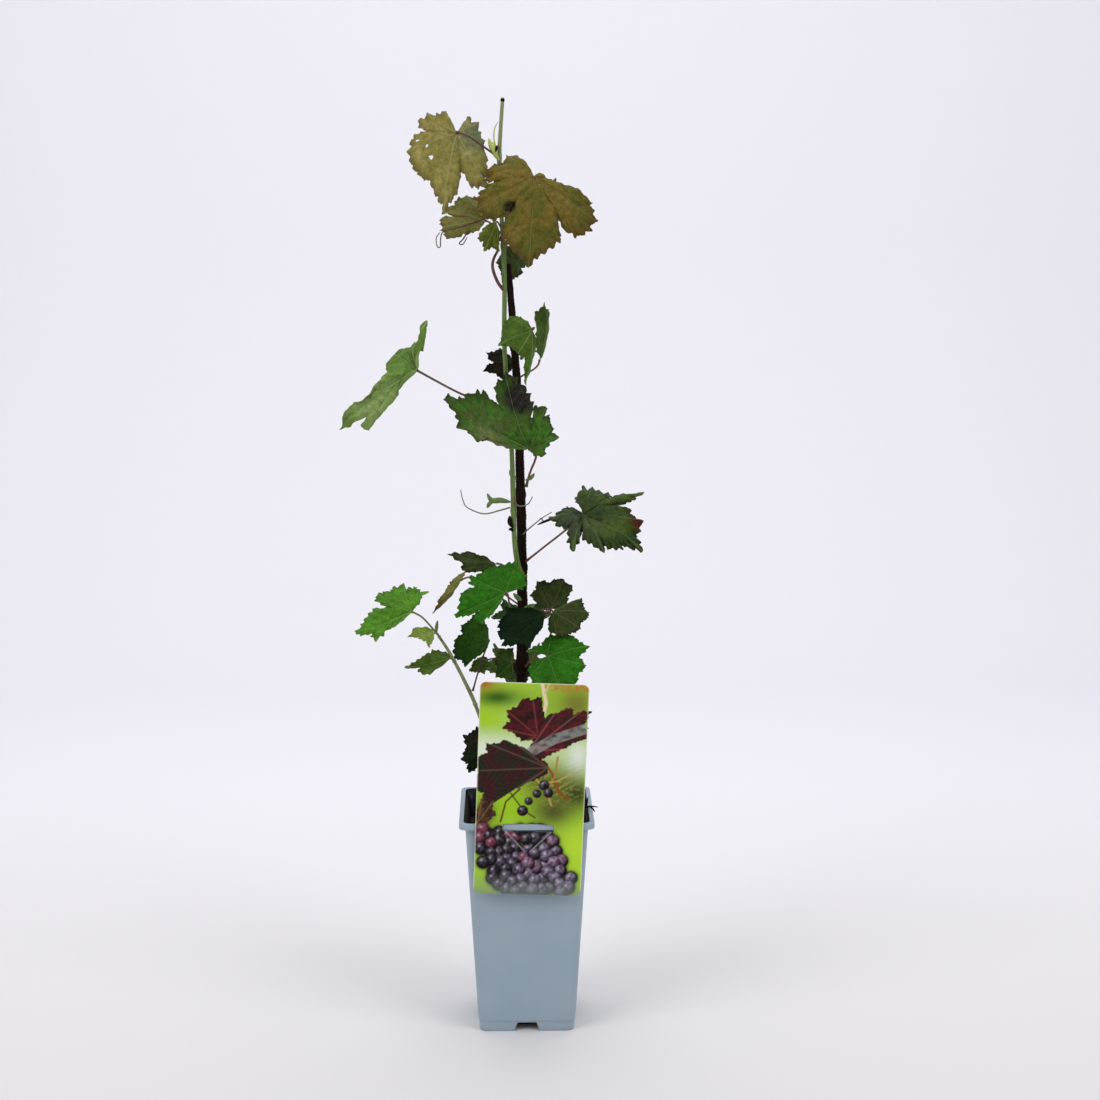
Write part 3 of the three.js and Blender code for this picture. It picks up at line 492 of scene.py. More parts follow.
def leaf_material(name, tint):
    """Vine leaf: waxy upper side, matt paler underside. The veins are lighter lines that run from the stalk
    into each lobe, with side veins at 50 degrees and a fine net between them; the rim and some patches turn
    colour. The grey spot is a painted sheen; the dark spot is reddening, but painted shadow on
    leaf_top_right."""
    blade, patch, vein, rim, dark, painted_sheen, rim_share = tint
    material, tree, shader, place = new_material("vine_leaf_" + name)
    vein_map, flat_map = (add_node(tree, "UVMap", uv_map=key) for key in ("vein", "flat"))
    # the dark spot and the grey spot (a painted sheen) come in as attributes
    edge, reddening_and_shade, grey, under = (
        add_node(tree, "Attribute", output="Fac", attribute_name=key)
        for key in ("edge", "reddening_and_shade", "grey", "under"))
    broad, mottle, fine, specks = (add_node(tree, "TexNoise", dict(zip(NOISE, row))) for row in (
        (place, 60.0, 2.0, 0.55), (flat_map, 26.0, 3.0, 0.6), (flat_map, 70.0, 4.0, 0.6),
        (flat_map, 120.0, 2.0, 0.5)))

    # UV units are 100 mm, so 0.01 is one millimetre
    along = add_node(tree, "SeparateXYZ", (vein_map,))
    across = add_node(tree, "Math", (along.node.outputs[1],), operation="ABSOLUTE")
    width = add_node(tree, "Math", (along, -0.0065, 0.0072), operation="MULTIPLY_ADD")
    off = add_node(tree, "Math", (across, width), operation="DIVIDE")
    run = add_node(tree, "Math", (across, -VEIN_SLOPE, along), operation="MULTIPLY_ADD")
    phase = add_node(tree, "Math", (run, VEIN_PITCH / 100), operation="DIVIDE")
    nearest = add_node(tree, "Math", (phase, 0.5), operation="PINGPONG")
    cells = add_node(
        tree, "TexVoronoi", {"Vector": flat_map, "Scale": 42.0}, "Distance", feature="DISTANCE_TO_EDGE")
    main, side, net = (
        add_node(tree, "MapRange", (value, low, high, strength, 0.0), interpolation_type="SMOOTHSTEP")
        for value, low, high, strength in (
            (off, 0.45, 1.15, 1.0), (nearest, 0.015, 0.055, 0.36), (cells, 0.02, 0.1, 0.2)))
    veins = add_node(tree, "Math", (main, side), operation="MAXIMUM")
    veins = add_node(tree, "Math", (veins, net), operation="MAXIMUM")

    shade = add_node(tree, "Math", (fine, 1.2, -0.35), operation="MULTIPLY_ADD")
    shade = add_node(tree, "Math", (mottle, 1.5, shade), operation="MULTIPLY_ADD")
    worn = add_node(tree, "Math", (mottle, 0.22, edge), operation="MULTIPLY_ADD")
    # the dark spot: reddening, and painted shadow on leaf_top_right
    reddening_and_shade_cover = add_node(tree, "Math", (mottle, 0.5, reddening_and_shade), operation="MULTIPLY_ADD")
    # other patches, then the grey spots: a painted sheen
    colour = layered(tree, linear(blade), (
        (broad, 0.4, 0.6, 1.0, patch), (grey, 0.0, 1.0, 0.85, painted_sheen, "LINEAR")))
    colour = add_node(tree, "Mix", {0: 1.0, 6: colour, 7: shade}, 2, data_type="RGBA", blend_type="MULTIPLY")
    colour = layered(tree, colour, (
        (specks, 0.6, 0.7, 0.3, rim), (worn, 0.94, 1.13, rim_share, rim), (reddening_and_shade_cover, 0.45, 0.95, 1.0, dark),
        (veins, 0.0, 1.0, 0.6, vein, "LINEAR"), (under, 0.0, 1.0, 0.105, "#6f7c58", "LINEAR")))

    roughness = add_node(tree, "Math", (fine, 0.18, 0.42), operation="MULTIPLY_ADD")
    roughness = add_node(tree, "Math", (under, 0.1, roughness), operation="MULTIPLY_ADD")
    height = add_node(tree, "Math", (veins, -1.0), operation="MULTIPLY")
    height = add_node(tree, "Math", (fine, 0.35, height), operation="MULTIPLY_ADD")
    finish_material(tree, shader, colour, roughness, height, 0.0005, 1.0)
    shader.inputs["IOR"].default_value = 1.42
    shader.inputs["Specular IOR Level"].default_value = 0.1
    shader.inputs["Subsurface Weight"].default_value = 0.08
    shader.inputs["Subsurface Radius"].default_value = (0.4, 1.0, 0.15)
    shader.inputs["Subsurface Scale"].default_value = 0.0006
    return material


def bark_material():
    """Old vine bark: dry brown fibres in strips along the stem, near black in the cracks, redder where it
    is new."""
    material, tree, shader, place = new_material("fibrous_vine_bark")
    stretch = add_node(tree, "Mapping", {"Vector": place, "Scale": (1.0, 1.0, 0.12)})
    fibre, strips = (add_node(tree, "TexNoise", dict(zip(NOISE, row))) for row in (
        (stretch, 900.0, 6.0, 0.65), (stretch, 260.0, 3.0, 0.55)))
    colour = layered(tree, linear("#080403"), (
        (fibre, 0.35, 0.7, 1.0, "#2a1b10"), (strips, 0.52, 0.7, 1.0, "#1a0d08")))
    roughness = add_node(tree, "Math", (fibre, 0.2, 0.68), operation="MULTIPLY_ADD")
    finish_material(tree, shader, colour, roughness, fibre, 0.0006)
    shader.inputs["Specular IOR Level"].default_value = 0.1
    return material


def shoot_material(name, skin, line, blotch, ripe=None):
    """One-year green shoot or stalk: smooth skin with fine lengthwise lines and red-brown sun-reddened
    blotches. By its top, between 0.75 and 0.79 m, a shoot may go over to a riper, paler colour."""
    material, tree, shader, place = new_material(name)
    stretch = add_node(tree, "Mapping", {"Vector": place, "Scale": (1.0, 1.0, 0.06)})
    lines, blotches = (add_node(tree, "TexNoise", dict(zip(NOISE, row))) for row in (
        (stretch, 1500.0, 3.0, 0.55), (place, 75.0, 3.0, 0.55)))
    colour = layered(tree, linear(skin), ((lines, 0.42, 0.62, 1.0, line), (blotches, 0.56, 0.7, 1.0, blotch)))
    if ripe:
        colour = layered(tree, colour, ((add_node(tree, "SeparateXYZ", (place,), 2), 0.75, 0.79, 1.0, ripe),))
    roughness = add_node(tree, "Math", (lines, 0.15, 0.42), operation="MULTIPLY_ADD")
    finish_material(tree, shader, colour, roughness, lines, 0.0002, 0.6)
    shader.inputs["IOR"].default_value = 1.42
    return material


def pot_materials():
    """Moulded polypropylene in two layers: grey-blue and satin outside, black inside, with a light bloom of
    dust. The black skin also covers the hollows under the notches: partly the black inner layer, partly
    painted shade."""
    skins = []
    for name, base, other, dust, specked in (
        ("moulded_polypropylene_grey_blue", "#91a3b0", "#95a6b2", "#9ca9b0", 0.69),
        ("black_polypropylene_and_notch_shade", "#070708", "#0b0b0c", "#5a5650", 0.63),
    ):
        material, tree, shader, place = new_material(name)
        cloud, grain, specks = (add_node(tree, "TexNoise", dict(zip(NOISE, row))) for row in (
            (place, 22.0, 4.0, 0.55), (place, 1400.0, 2.0, 0.55), (place, 420.0, 2.0, 0.4)))
        colour = layered(tree, linear(base), (
            (cloud, 0.35, 0.65, 1.0, other), (specks, specked, specked + 0.07, 0.45, dust)))
        roughness = add_node(tree, "Math", (cloud, 0.16, 0.36), operation="MULTIPLY_ADD")
        finish_material(tree, shader, colour, roughness, grain, 0.00004, 0.5)
        shader.inputs["IOR"].default_value = 1.49
        skins.append(material)
    return skins


def soil_material():
    """Moist peat compost: nearly black, brown fibres and a few pale grains."""
    material, tree, shader, place = new_material("moist_peat_compost")
    clods, grains = (add_node(tree, "TexNoise", dict(zip(NOISE, row))) for row in (
        (place, 240.0, 6.0, 0.7), (place, 1100.0, 2.0, 0.55)))
    colour = layered(tree, linear("#0e0a08"), (
        (clods, 0.35, 0.7, 1.0, "#33251b"), (grains, 0.68, 0.74, 1.0, "#6b5a48")))
    roughness = add_node(tree, "Math", (clods, 0.15, 0.8), operation="MULTIPLY_ADD")
    finish_material(tree, shader, colour, roughness, clods, 0.0015)
    return material


# ---------------------------------------------------------------- leaves

BLADE_THICKNESS = 0.35
FULL_SIZE = 75.0  # length of a full-grown leaf's longest lobe, to which the sizes below belong
CELL = 1.2  # grid step along the rim
NOTCH = 0.13  # half width of a notch, by the way from tip to tip
TAPER = 0.25  # share of a cut that is a broad dip, the rest being the narrow notch
ROUND = 0.35  # share of the way from a straight rim out to an arc round the stalk
REAR = 0.4  # how far out the two rear corners lie, by the length of the tips next to them
ARCH = 0.07  # height of the arch between stalk and rim, by the rim's distance
CUT = 0.22  # depth of a cut, for the leaves that give none
HEART = (0.35, 0.35)  # how far the rear corners swing back, for the leaves that give none
TOOTH_PITCH = 8.0
TOOTH_DEPTH = 4.2
TOOTH_LEAN = 0.74  # share of a tooth's length that is its long side


def rim_of(leaf, cell):
    """The rim without teeth, round from one side of the stalk to the other: straight from tip to tip, rounded
    by ROUND of the way out to an arc round the stalk, and cut in towards the stalk between tips. Gives the
    points and where each lies, in tip numbers."""
    tips = np.array(leaf["lobes"], float)
    middle = unit(tips.sum(0))
    heart = leaf.get("heart", HEART)
    rear = [REAR * np.linalg.norm(tip) * unit(unit(tip) - middle * swing)
            for tip, swing in zip(tips[[0, -1]], heart)]
    corners = np.vstack([rear[0], tips, rear[1]])
    depths = (0, *leaf.get("cuts", (CUT,) * (len(tips) - 1)), 0)
    points, where = [], []
    for gap, depth in enumerate(depths):
        start, end = corners[gap], corners[gap + 1]
        steps = 2 * math.ceil(np.linalg.norm(end - start) * (1 + 1.5 * depth) / cell / 2) + 2
        t = np.arange(steps) / steps
        chord = start + (end - start) * t[:, None]
        length = np.linalg.norm(chord, axis=1)
        arc = np.linalg.norm(start) * (1 - t) + np.linalg.norm(end) * t
        dip = TAPER * np.sin(np.pi * t) + (1 - TAPER) * np.exp(-(((t - 0.5) / NOTCH) ** 2))
        reach = (length * (1 - ROUND) + arc * ROUND) * (1 - depth * dip)
        points.append(unit(chord) * reach[:, None])
        where.append(gap - 1 + t)
    return np.vstack([*points, corners[-1:]]), np.concatenate([*where, [len(tips)]])


def smooth_round(curve, width):
    """A curve's points, each averaged with its neighbours under a bell of the given width in points."""
    reach = int(3 * width)
    bell = np.exp(-((np.arange(-reach, reach + 1) / width) ** 2) / 2)
    padded = np.pad(curve, ((reach, reach), (0, 0)), mode="edge")
    return np.stack([np.convolve(column, bell / bell.sum(), mode="valid") for column in padded.T], 1)


def toothed(rim, where, ribs, scale, seed, bite=1.0):
    """The rim with its teeth: uneven saw teeth that lean to the nearest main vein's end, with a longer
    point on each end. They stand out square to the rim, along e = r - t (t . r), r being the way out and t
    the rim."""
    rng = np.random.default_rng(seed)
    run = run_along(rim)
    to_rib = np.abs(run[:, None] - np.interp(ribs, where, run)[None, :]).min(1)
    pitch = TOOTH_PITCH * max(scale, 0.3) ** 0.6
    phase = to_rib / pitch + 0.18 * wobble(run[:, None], 2.3 * pitch, seed)
    part = phase % 1
    saw = np.where(part < TOOTH_LEAN, 1 - part / TOOTH_LEAN, (part - TOOTH_LEAN) / (1 - TOOTH_LEAN))
    uneven = 0.75 + 0.4 * rng.uniform(-1, 1, 40)[np.abs(phase.astype(int)) % 40]
    fine = np.abs((to_rib / pitch * 2.7) % 1 - 0.5)
    near_stalk = np.clip(np.minimum(run, run[-1] - run) / (14 * scale), 0, 1) ** 1.5
    depth = bite * TOOTH_DEPTH * max(scale, 0.28)
    point = 0.7 * np.exp(-to_rib / (2.4 * max(scale, 0.4)))
    out = depth * (uneven * (saw - 0.5) + 0.35 * (fine - 0.25) + point)
    along = unit(np.gradient(smooth_round(rim, 1.5), axis=0))
    square = unit(rim - along * (along * rim).sum(1, keepdims=True))
    return rim + square * (near_stalk * out)[:, None]


def blade_surface(leaf, seed):
    """The middle surface P(u, q) = q r(u) + 4 q (1 - q) b + h n of one leaf, in millimetres from its stalk.

    r(u) is the toothed rim, whose directions are smoothed away from the rim itself, b the blade's bow and n
    its normal. h is an arch from stalk to rim, sunk main veins, quilting between the side veins, and
    waves."""
    tips = np.array(leaf["lobes"], float)
    scale = np.linalg.norm(tips, axis=1).max() / FULL_SIZE
    rim, where = rim_of(leaf, CELL * max(scale, 0.42))
    ribs = np.array(leaf.get("ribs", range(len(tips))), float)
    edge = toothed(rim, where, ribs, scale, seed, leaf.get("bite", 1.0))
    columns = len(rim)
    rows = int(12 + 18 * min(scale, 1.1))
    share = (np.arange(1, rows + 1) / rows) ** 0.85
    length = np.linalg.norm(edge, axis=1)
    calm = unit(smooth_round(unit(rim), 0.02 * columns))
    loose = np.clip((1 - share) / 0.3, 0, 1)[:, None, None]
    way = unit(unit(edge) * (1 - loose) + calm * loose)
    radius = share[:, None] * length
    bow = np.array(leaf.get("bow", (0, 0, 0)), float)
    points = radius[:, :, None] * way + (4 * share * (1 - share))[:, None, None] * bow
    normal = np.cross(np.gradient(points, axis=0), np.gradient(points, axis=1))
    normal = unit(np.stack([smooth_round(row, 0.03 * columns) for row in unit(normal)]))
    faces_front = normal.mean((0, 1))[1] < 0
    upper = 1.0 if faces_front != leaf.get("flip", False) else -1.0

    # place on the nearest main vein, and on the flattened blade
    fan = np.concatenate([[0], np.cumsum(np.arccos(np.clip((calm[:-1] * calm[1:]).sum(1), -1, 1)))])
    rib_fan = np.interp(ribs, where, fan)
    nearest = np.abs(fan[:, None] - rib_fan).argmin(1)
    off = fan - rib_fan[nearest]
    along, across = radius * np.cos(off), radius * np.abs(np.sin(off))
    flat = np.stack([radius * np.sin(fan - fan[-1] / 2), radius * np.cos(fan - fan[-1] / 2)], 2)
    side = np.abs(((along - VEIN_SLOPE * across) / VEIN_PITCH + 0.5) % 1 - 0.5) * VEIN_PITCH
    out = share[:, None] * np.ones(columns)
    grow = min(scale, 1.2)
    quilt = 1.1 * grow * (1 - np.exp(-((side / 2.4) ** 2))) * np.clip(across / 4, 0, 1) * (1 - 0.5 * out)
    sunk = 0.9 * grow * np.exp(-((across / 1.5) ** 2)) * (1 - 0.7 * out)
    waves = 1.9 * grow * wobble(flat, 36 * max(scale, 0.5), seed + 1) * out**2
    waves = waves + 1.2 * grow * wobble(flat, 13 * max(scale, 0.5), seed + 2) * out**4
    waves = waves + 0.45 * grow * wobble(flat, 9, seed + 3, 20) * np.clip(out * 4, 0, 1)
    arch = ARCH * np.linalg.norm(rim, axis=1) * np.sin(np.pi * out**1.1)
    points = points + (arch + waves + upper * (quilt - sunk))[:, :, None] * normal
    return dict(points=points, rim=rim, bow=bow, where=where, fan=fan, rib_fan=rib_fan, nearest=nearest,
                radius=radius, share=share, flat=flat, upper=upper)


def seat_of(name, surface):
    """Where the stalk joins the blade: the middle of the CAD node's box, less the middle of the box of the
    same plain blade, which is the stalk, the rim and a ring at 0.55 of the way out, arched and bowed."""
    rim = surface["rim"]
    normal = unit(np.cross(rim[:-1], rim[1:]).sum(0))
    ring = 0.55 * rim + ARCH * np.linalg.norm(rim, axis=1, keepdims=True) * normal + surface["bow"]
    plain = np.vstack([np.zeros((1, 3)), rim, ring])
    low, high = node_box(name)
    return (low + high) / 2 - (plain.min(0) + plain.max(0)) / 2


def blade_piece(name, leaf, seed, material):
    """One leaf as a thin closed blade: the middle surface moved half its thickness along its normals to
    either side, with a band round the rim and round each hole."""
    surface = blade_surface(leaf, seed)
    grid = surface["points"]
    rows, columns = grid.shape[:2]
    normals = unit(np.cross(np.gradient(grid, axis=0), np.gradient(grid, axis=1)))
    points = np.vstack([np.zeros((1, 3)), grid.reshape(-1, 3)])
    shift = np.vstack([unit(normals[0].mean(0)), normals.reshape(-1, 3)]) * BLADE_THICKNESS / 2
    count = len(points)

    def spot(tip, way_out):
        """The blade's point at a tip number and a share of the way out."""
        column, row = np.abs(surface["where"] - tip).argmin(), np.abs(surface["share"] - way_out).argmin()
        return grid[row, column]

    first = np.arange(columns - 1)
    tris = np.stack([np.zeros(columns - 1, int), first + 1, first + 2], 1)
    quads = grid_faces(rows, columns, 1)[:, ::-1]
    column = np.tile(first, rows - 1)
    middles = points[quads].mean(1)
    keep = np.ones(len(quads), bool)
    for tip, way_out, size in leaf.get("holes", ()):
        ragged = size * (1 + 0.3 * wobble(middles, 2.5, seed + 5))
        keep &= np.linalg.norm(middles - spot(tip, way_out), axis=1) > ragged
    quads, column = quads[keep], column[keep]
    rim = rim_edges([tris, quads])
    band = np.stack([rim[:, 1], rim[:, 0], rim[:, 0] + count, rim[:, 1] + count], 1)
    faces = [np.vstack([tris, tris[:, ::-1] + count]), np.vstack([quads, quads[:, ::-1] + count, band])]

    def corner_maps(block, columns_of_face):
        """Per corner: place on the face's nearest main vein, and on the flattened blade, in units of 100
        mm."""
        index = block % count
        beyond = np.maximum(index - 1, 0)
        bearing = surface["rib_fan"][surface["nearest"][columns_of_face]][:, None]
        off = surface["fan"][beyond % columns] - bearing
        radius = np.where(index == 0, 0.0, surface["radius"].ravel()[beyond])
        vein = np.stack([radius * np.cos(off), radius * np.sin(off)], 2)
        flat = np.where((index == 0)[:, :, None], 0.0, surface["flat"].reshape(-1, 2)[beyond])
        return vein.reshape(-1, 2) / 100, flat.reshape(-1, 2) / 100

    band_column = np.maximum(band[:, 0] % count - 1, 0) % columns
    maps = [corner_maps(faces[0], np.tile(first, 2)),
            corner_maps(faces[1], np.concatenate([column, column, band_column]))]
    uvs = {key: np.vstack([pair[k] for pair in maps]) for k, key in enumerate(("vein", "flat"))}

    # the dark spot (reddening, and painted shadow on leaf_top_right) and the grey spot (a painted sheen),
    # each a bell round its place
    spots = {"reddening_and_shade": np.zeros(count), "grey": np.zeros(count)}
    for key in spots.keys() & leaf.keys():
        tip, way_out, size = leaf[key]
        spots[key] = np.exp(-((np.linalg.norm(points - spot(tip, way_out), axis=1) / size) ** 2))
    share = np.concatenate([[0.0], np.repeat(surface["share"], columns)])
    under = np.repeat([0.0, 1.0] if surface["upper"] > 0 else [1.0, 0.0], count)
    values = {"edge": np.tile(share, 2), "under": under}
    values |= {key: np.tile(value, 2) for key, value in spots.items()}
    seat = seat_of(name, surface)
    both = np.vstack([points + shift, points - shift]) + seat
    make_piece(name + "_blade", both, faces, [material], [name], uvs, values, sharp=60)
    return seat


# ---------------------------------------------------------------- stems, stalks and tendrils


LINE_STEPS = 400  # points at which a smooth line is measured
JOINT_SWELL = 0.28  # how much thicker a limb is at a joint
JOINT_WIDTH = 0.008  # half length of that swelling, by the limb's length


def sweep(line, radius_at, sides, step, relief=None, seed=0):
    """A tube: circles of radius r(s) (1 + relief(s, a)) square to a smooth line through `line`; s is the
    distance along it and a the angle round it."""
    line = np.asarray(line, float)
    fine = catmull(line, np.linspace(0, len(line) - 1, LINE_STEPS))
    run = run_along(fine)
    count = max(6, int(run[-1] / step))
    s = np.linspace(0, run[-1], count)
    centre = np.stack([np.interp(s, run, fine[:, k]) for k in range(3)], 1)
    tangent = unit(np.gradient(centre, axis=0))
    axis = np.eye(3)[np.abs(tangent.mean(0)).argmin()]
    side = unit(axis - (tangent @ axis)[:, None] * tangent)
    across = np.cross(tangent, side)
    angle = np.arange(sides) / sides * 2 * np.pi
    radius = radius_at(s / run[-1])[:, None] * np.ones(sides)
    if relief is not None:
        radius = radius * (1 + relief(s[:, None], angle[None, :], seed))
    ring = np.cos(angle)[None, :, None] * side[:, None] + np.sin(angle)[None, :, None] * across[:, None]
    return centre[:, None] + radius[:, :, None] * ring


def bark_relief(s, angle, seed):
    """Fibrous strips: ridges a third of a millimetre deep that run along the stem, broken by slow
    swellings."""
    around = np.stack(np.broadcast_arrays(np.cos(angle) * 6, np.sin(angle) * 6, s / 9), -1)
    fine = np.stack(np.broadcast_arrays(np.cos(angle) * 6, np.sin(angle) * 6, s / 2.5), -1)
    return 0.09 * wobble(around, 2.4, seed) + 0.045 * wobble(fine, 1.1, seed + 1)


def shoot_relief(s, angle, seed):
    """A shoot's shallow lengthwise ribs."""
    return 0.035 * np.cos(9 * angle + 0.02 * s) + 0.03 * np.cos(2 * angle + s / 40 + seed)


def swelling(share, places, size, width):
    """How much thicker a shoot is at its joints: a bump of `size` at each place."""
    return 1 + sum(size * np.exp(-(((share - place) / width) ** 2)) for place in places)


def limb_piece(name, sides, step, relief, joints, material, seed):
    """A woody limb: a tube whose radius goes straight from each of its line's points to the next, swollen
    at its joints, which are shares of its length. The trunk is lifted to stand where its CAD node does."""
    limb = LIMBS[name]
    rows = len(limb["radii"])
    fine_rows = np.linspace(0, rows - 1, LINE_STEPS)
    run = run_along(catmull(np.array(limb["line"], float), fine_rows))
    knots = np.interp(np.linspace(0, 1, rows) * (rows - 1), fine_rows, run / run[-1])

    def radius_at(share):
        return np.interp(share, knots, limb["radii"]) * swelling(share, joints, JOINT_SWELL, JOINT_WIDTH)

    rings = sweep(limb["line"], radius_at, sides, step, relief, seed)
    if name == "trunk":
        rings[..., 2] += node_box(name)[0][2] - rings[..., 2].min()
    points, faces = closed_tube(rings)
    return make_piece(name + "_skin", points, faces, [material], [name], sharp=50)


def limb_point(name, height):
    """The point on a limb's middle line at a given height."""
    line = catmull(np.array(LIMBS[name]["line"], float), np.linspace(0, len(LIMBS[name]["line"]) - 1, 300))
    return line[np.abs(line[:, 2] - height).argmin()]


def swollen(line, radius, sides=14):
    """A bud or very small folded leaf: a tube round a line, r sin(pi s)^0.6 thick at share s of its
    length."""

    def radius_at(share):
        return 0.15 + radius * np.sin(np.pi * np.clip(share, 0, 1)) ** 0.6

    return closed_tube(sweep(line, radius_at, sides, 0.5))


def stalk_line(start, join, middle):
    """A Bezier curve that leaves the stem outwards and up, and comes in to the blade from behind it."""
    span = np.linalg.norm(join - start)
    away = unit(join - start)
    leave = unit(away * [1, 1, 0.2] + [0, 0, 0.55])
    handles = [start, start + leave * span * 0.35, join - middle * span * 0.3, join]
    t = np.linspace(0, 1, 9)[:, None]
    weights = ((1 - t) ** 3, 3 * t * (1 - t) ** 2, 3 * t**2 * (1 - t), t**3)
    return sum(w * h for w, h in zip(weights, handles))


def stalk_tube(name, leaf, seat):
    """One leaf's stalk, from its limb to the blade's seat: t (1 + 0.7 exp(-s / 0.05) + 0.4 exp(-(1 - s) /
    0.04)) thick at share s of its length, t growing with the leaf. A long stalk follows its CAD node's
    line, from a little way inside the limb; a short one leaves the limb lower than its seat, the more so
    the farther off."""
    tips = np.array(leaf["lobes"], float)
    if name in CARRIED:
        line = np.vstack([np.array(CARRIED[name], float), seat])
        line[0] = line[0] + unit(line[0] - line[1]) * STALK_ROOT
    else:
        reach = np.linalg.norm(seat[:2] - limb_point(leaf["on"], seat[2])[:2])
        line = stalk_line(limb_point(leaf["on"], seat[2] - 0.35 * reach - 6), seat, unit(tips.sum(0)))
    thick = 0.55 + 0.45 * min(np.linalg.norm(tips, axis=1).max() / FULL_SIZE, 1)

    def radius_at(share):
        return thick * (1 + 0.7 * np.exp(-share / 0.05) + 0.4 * np.exp(-(1 - share) / 0.04))

    return closed_tube(sweep(line, radius_at, 10, 1.2, shoot_relief, 5))


# ---------------------------------------------------------------- pot


def square_ring(half, corner, arc_steps, side_places):
    """Points round a square with round corners, counter-clockwise from the middle of its right side: quarter
    circles of radius `corner`, and straight sides with points at the given places."""
    corner = min(corner, half * 0.8)
    flat = half - corner
    places = np.sign(side_places) * np.minimum(np.abs(side_places), flat * 0.92)
    outer = flat + (np.abs(places).max() - flat) * np.array([0, 0.33, 0.66])
    run = np.concatenate([-outer, places, outer[::-1]])
    arc = np.arange(1, arc_steps) / arc_steps * np.pi / 2
    ring = []
    for quarter in range(4):
        turn = quarter * np.pi / 2
        side = np.stack([np.full(len(run), half), run], 1)
        bend = np.stack([flat + corner * np.cos(arc), flat + corner * np.sin(arc)], 1)
        both = np.vstack([side, bend])
        spin = np.array([[np.cos(turn), np.sin(turn)], [-np.sin(turn), np.cos(turn)]])
        ring.append(both @ spin)
    return np.vstack(ring)


POT_FOOT = 42.8  # half width of the foot
POT_SHOULDER = 54.5  # half width of the wall under the rim
POT_CORNER = 7.0
RIM_HEIGHT = 5.5
WALL_FOOT = 12  # where the plain wall starts, over the foot step
NOTCH_PLACES = np.array([-11.5, -8.5, -3.5, 3.5, 8.5, 11.5])
NOTCH_INSIDE = np.array([0, 1, 1, 1, 1, 0], bool)
NOTCH_HEIGHT = 8.0
NOTCH_INNER = 26.0
ARC_STEPS = 8


def pot_piece(skins):
    """The pot's skin: rounded squares carried along its profile, from the middle of the underside out to
    the foot, up the wall, over the rim and down inside. On the four notches the profile runs under their
    roofs. The faces of those hollows take the black skin: partly the black inner layer, partly painted
    shade."""
    foot, shoulder = POT_FOOT, POT_SHOULDER
    rim_low = RIM_TOP - RIM_HEIGHT
    slope = (shoulder - foot - 0.5) / rim_low
    wall = [(z, foot + 0.5 + slope * z) for z in np.linspace(WALL_FOOT, RIM_TOP - 7, 16)]
    # each level: half width and height of the plain profile, and of the profile on a notch
    levels = [
        (3, 0, 3, 0), (14, 0, 14, 0), (NOTCH_INNER, 0, NOTCH_INNER, 0),
        (NOTCH_INNER + 0.5, 0, NOTCH_INNER + 0.2, NOTCH_HEIGHT), (foot - 1.3, 0, foot - 1.0, NOTCH_HEIGHT),
        (foot - 0.4, 0.3, foot - 0.2, NOTCH_HEIGHT + 0.1), (foot, 1.2, foot + 0.1, NOTCH_HEIGHT + 0.3),
        (foot + 0.15, 5, foot + 0.25, NOTCH_HEIGHT + 0.6), (foot + 0.3, 9.1, foot + 0.3, 9.3),
        (foot + 0.45, 9.6, foot + 0.45, 9.6), (foot + 0.95, 10.1, foot + 0.95, 10.1),
    ]
    levels += [(half, z, half, z) for z, half in wall]
    levels += [(h, z, h, z) for h, z in (
        (shoulder - 0.1, rim_low - 1.0), (shoulder + 0.3, rim_low - 0.3), (shoulder + 1.0, rim_low),
        (RIM_HALF - 0.8, rim_low), (RIM_HALF - 0.2, rim_low + 0.25), (RIM_HALF, rim_low + 0.8),
        (RIM_HALF, RIM_TOP - 0.9), (RIM_HALF - 0.25, RIM_TOP - 0.25), (RIM_HALF - 0.9, RIM_TOP),
        (RIM_HALF - 3.7, RIM_TOP), (RIM_HALF - 4.1, RIM_TOP - 0.25), (RIM_HALF - 4.4, RIM_TOP - 0.9))]
    inside = len(levels) - 2
    levels += [(h, z, h, z) for h, z in (
        (55.0, rim_low + 1.8), (53.4, rim_low - 0.8), (52.4, 188), (51.6, 176), (48, 120), (44, 50),
        (41.6, 14), (40.5, 12), (20, 12), (3, 12))]
    # a column is on a notch where its place on the straight side is inside it
    per_side = len(NOTCH_PLACES) + 6
    on_notch = np.zeros(4 * (per_side + ARC_STEPS - 1), bool)
    for quarter in range(4):
        start = quarter * (per_side + ARC_STEPS - 1) + 3
        on_notch[start:start + len(NOTCH_PLACES)] = NOTCH_INSIDE
    rings = []
    for half, z, notch_half, notch_z in levels:
        radius = POT_CORNER - 1.6 if len(rings) > inside else POT_CORNER
        plain = square_ring(half, radius, ARC_STEPS, NOTCH_PLACES)
        roof = square_ring(notch_half, radius, ARC_STEPS, NOTCH_PLACES)
        flat = np.where(on_notch[:, None], roof, plain)
        rings.append(np.column_stack([flat, np.where(on_notch, notch_z, z)]))
    points, faces = closed_tube(np.array(rings))
    columns = len(on_notch)
    ring_of_face = np.repeat(np.arange(len(levels) - 1), columns)
    beside_notch = np.tile(on_notch | np.roll(on_notch, -1), len(levels) - 1)
    # the hollows under the notches get the black skin: partly painted shade
    notch_shade_faces = beside_notch & (ring_of_face >= 2) & (ring_of_face < 5)
    dark = np.concatenate([(ring_of_face >= inside) | notch_shade_faces, np.repeat([False, True], columns)])
    return make_piece("pot_shell", points, faces, skins, ["pot"], face_material=dark, sharp=32)


SOIL_HALF = 51.3  # half width of the compost at its top
SOIL_CORNER = 5.4


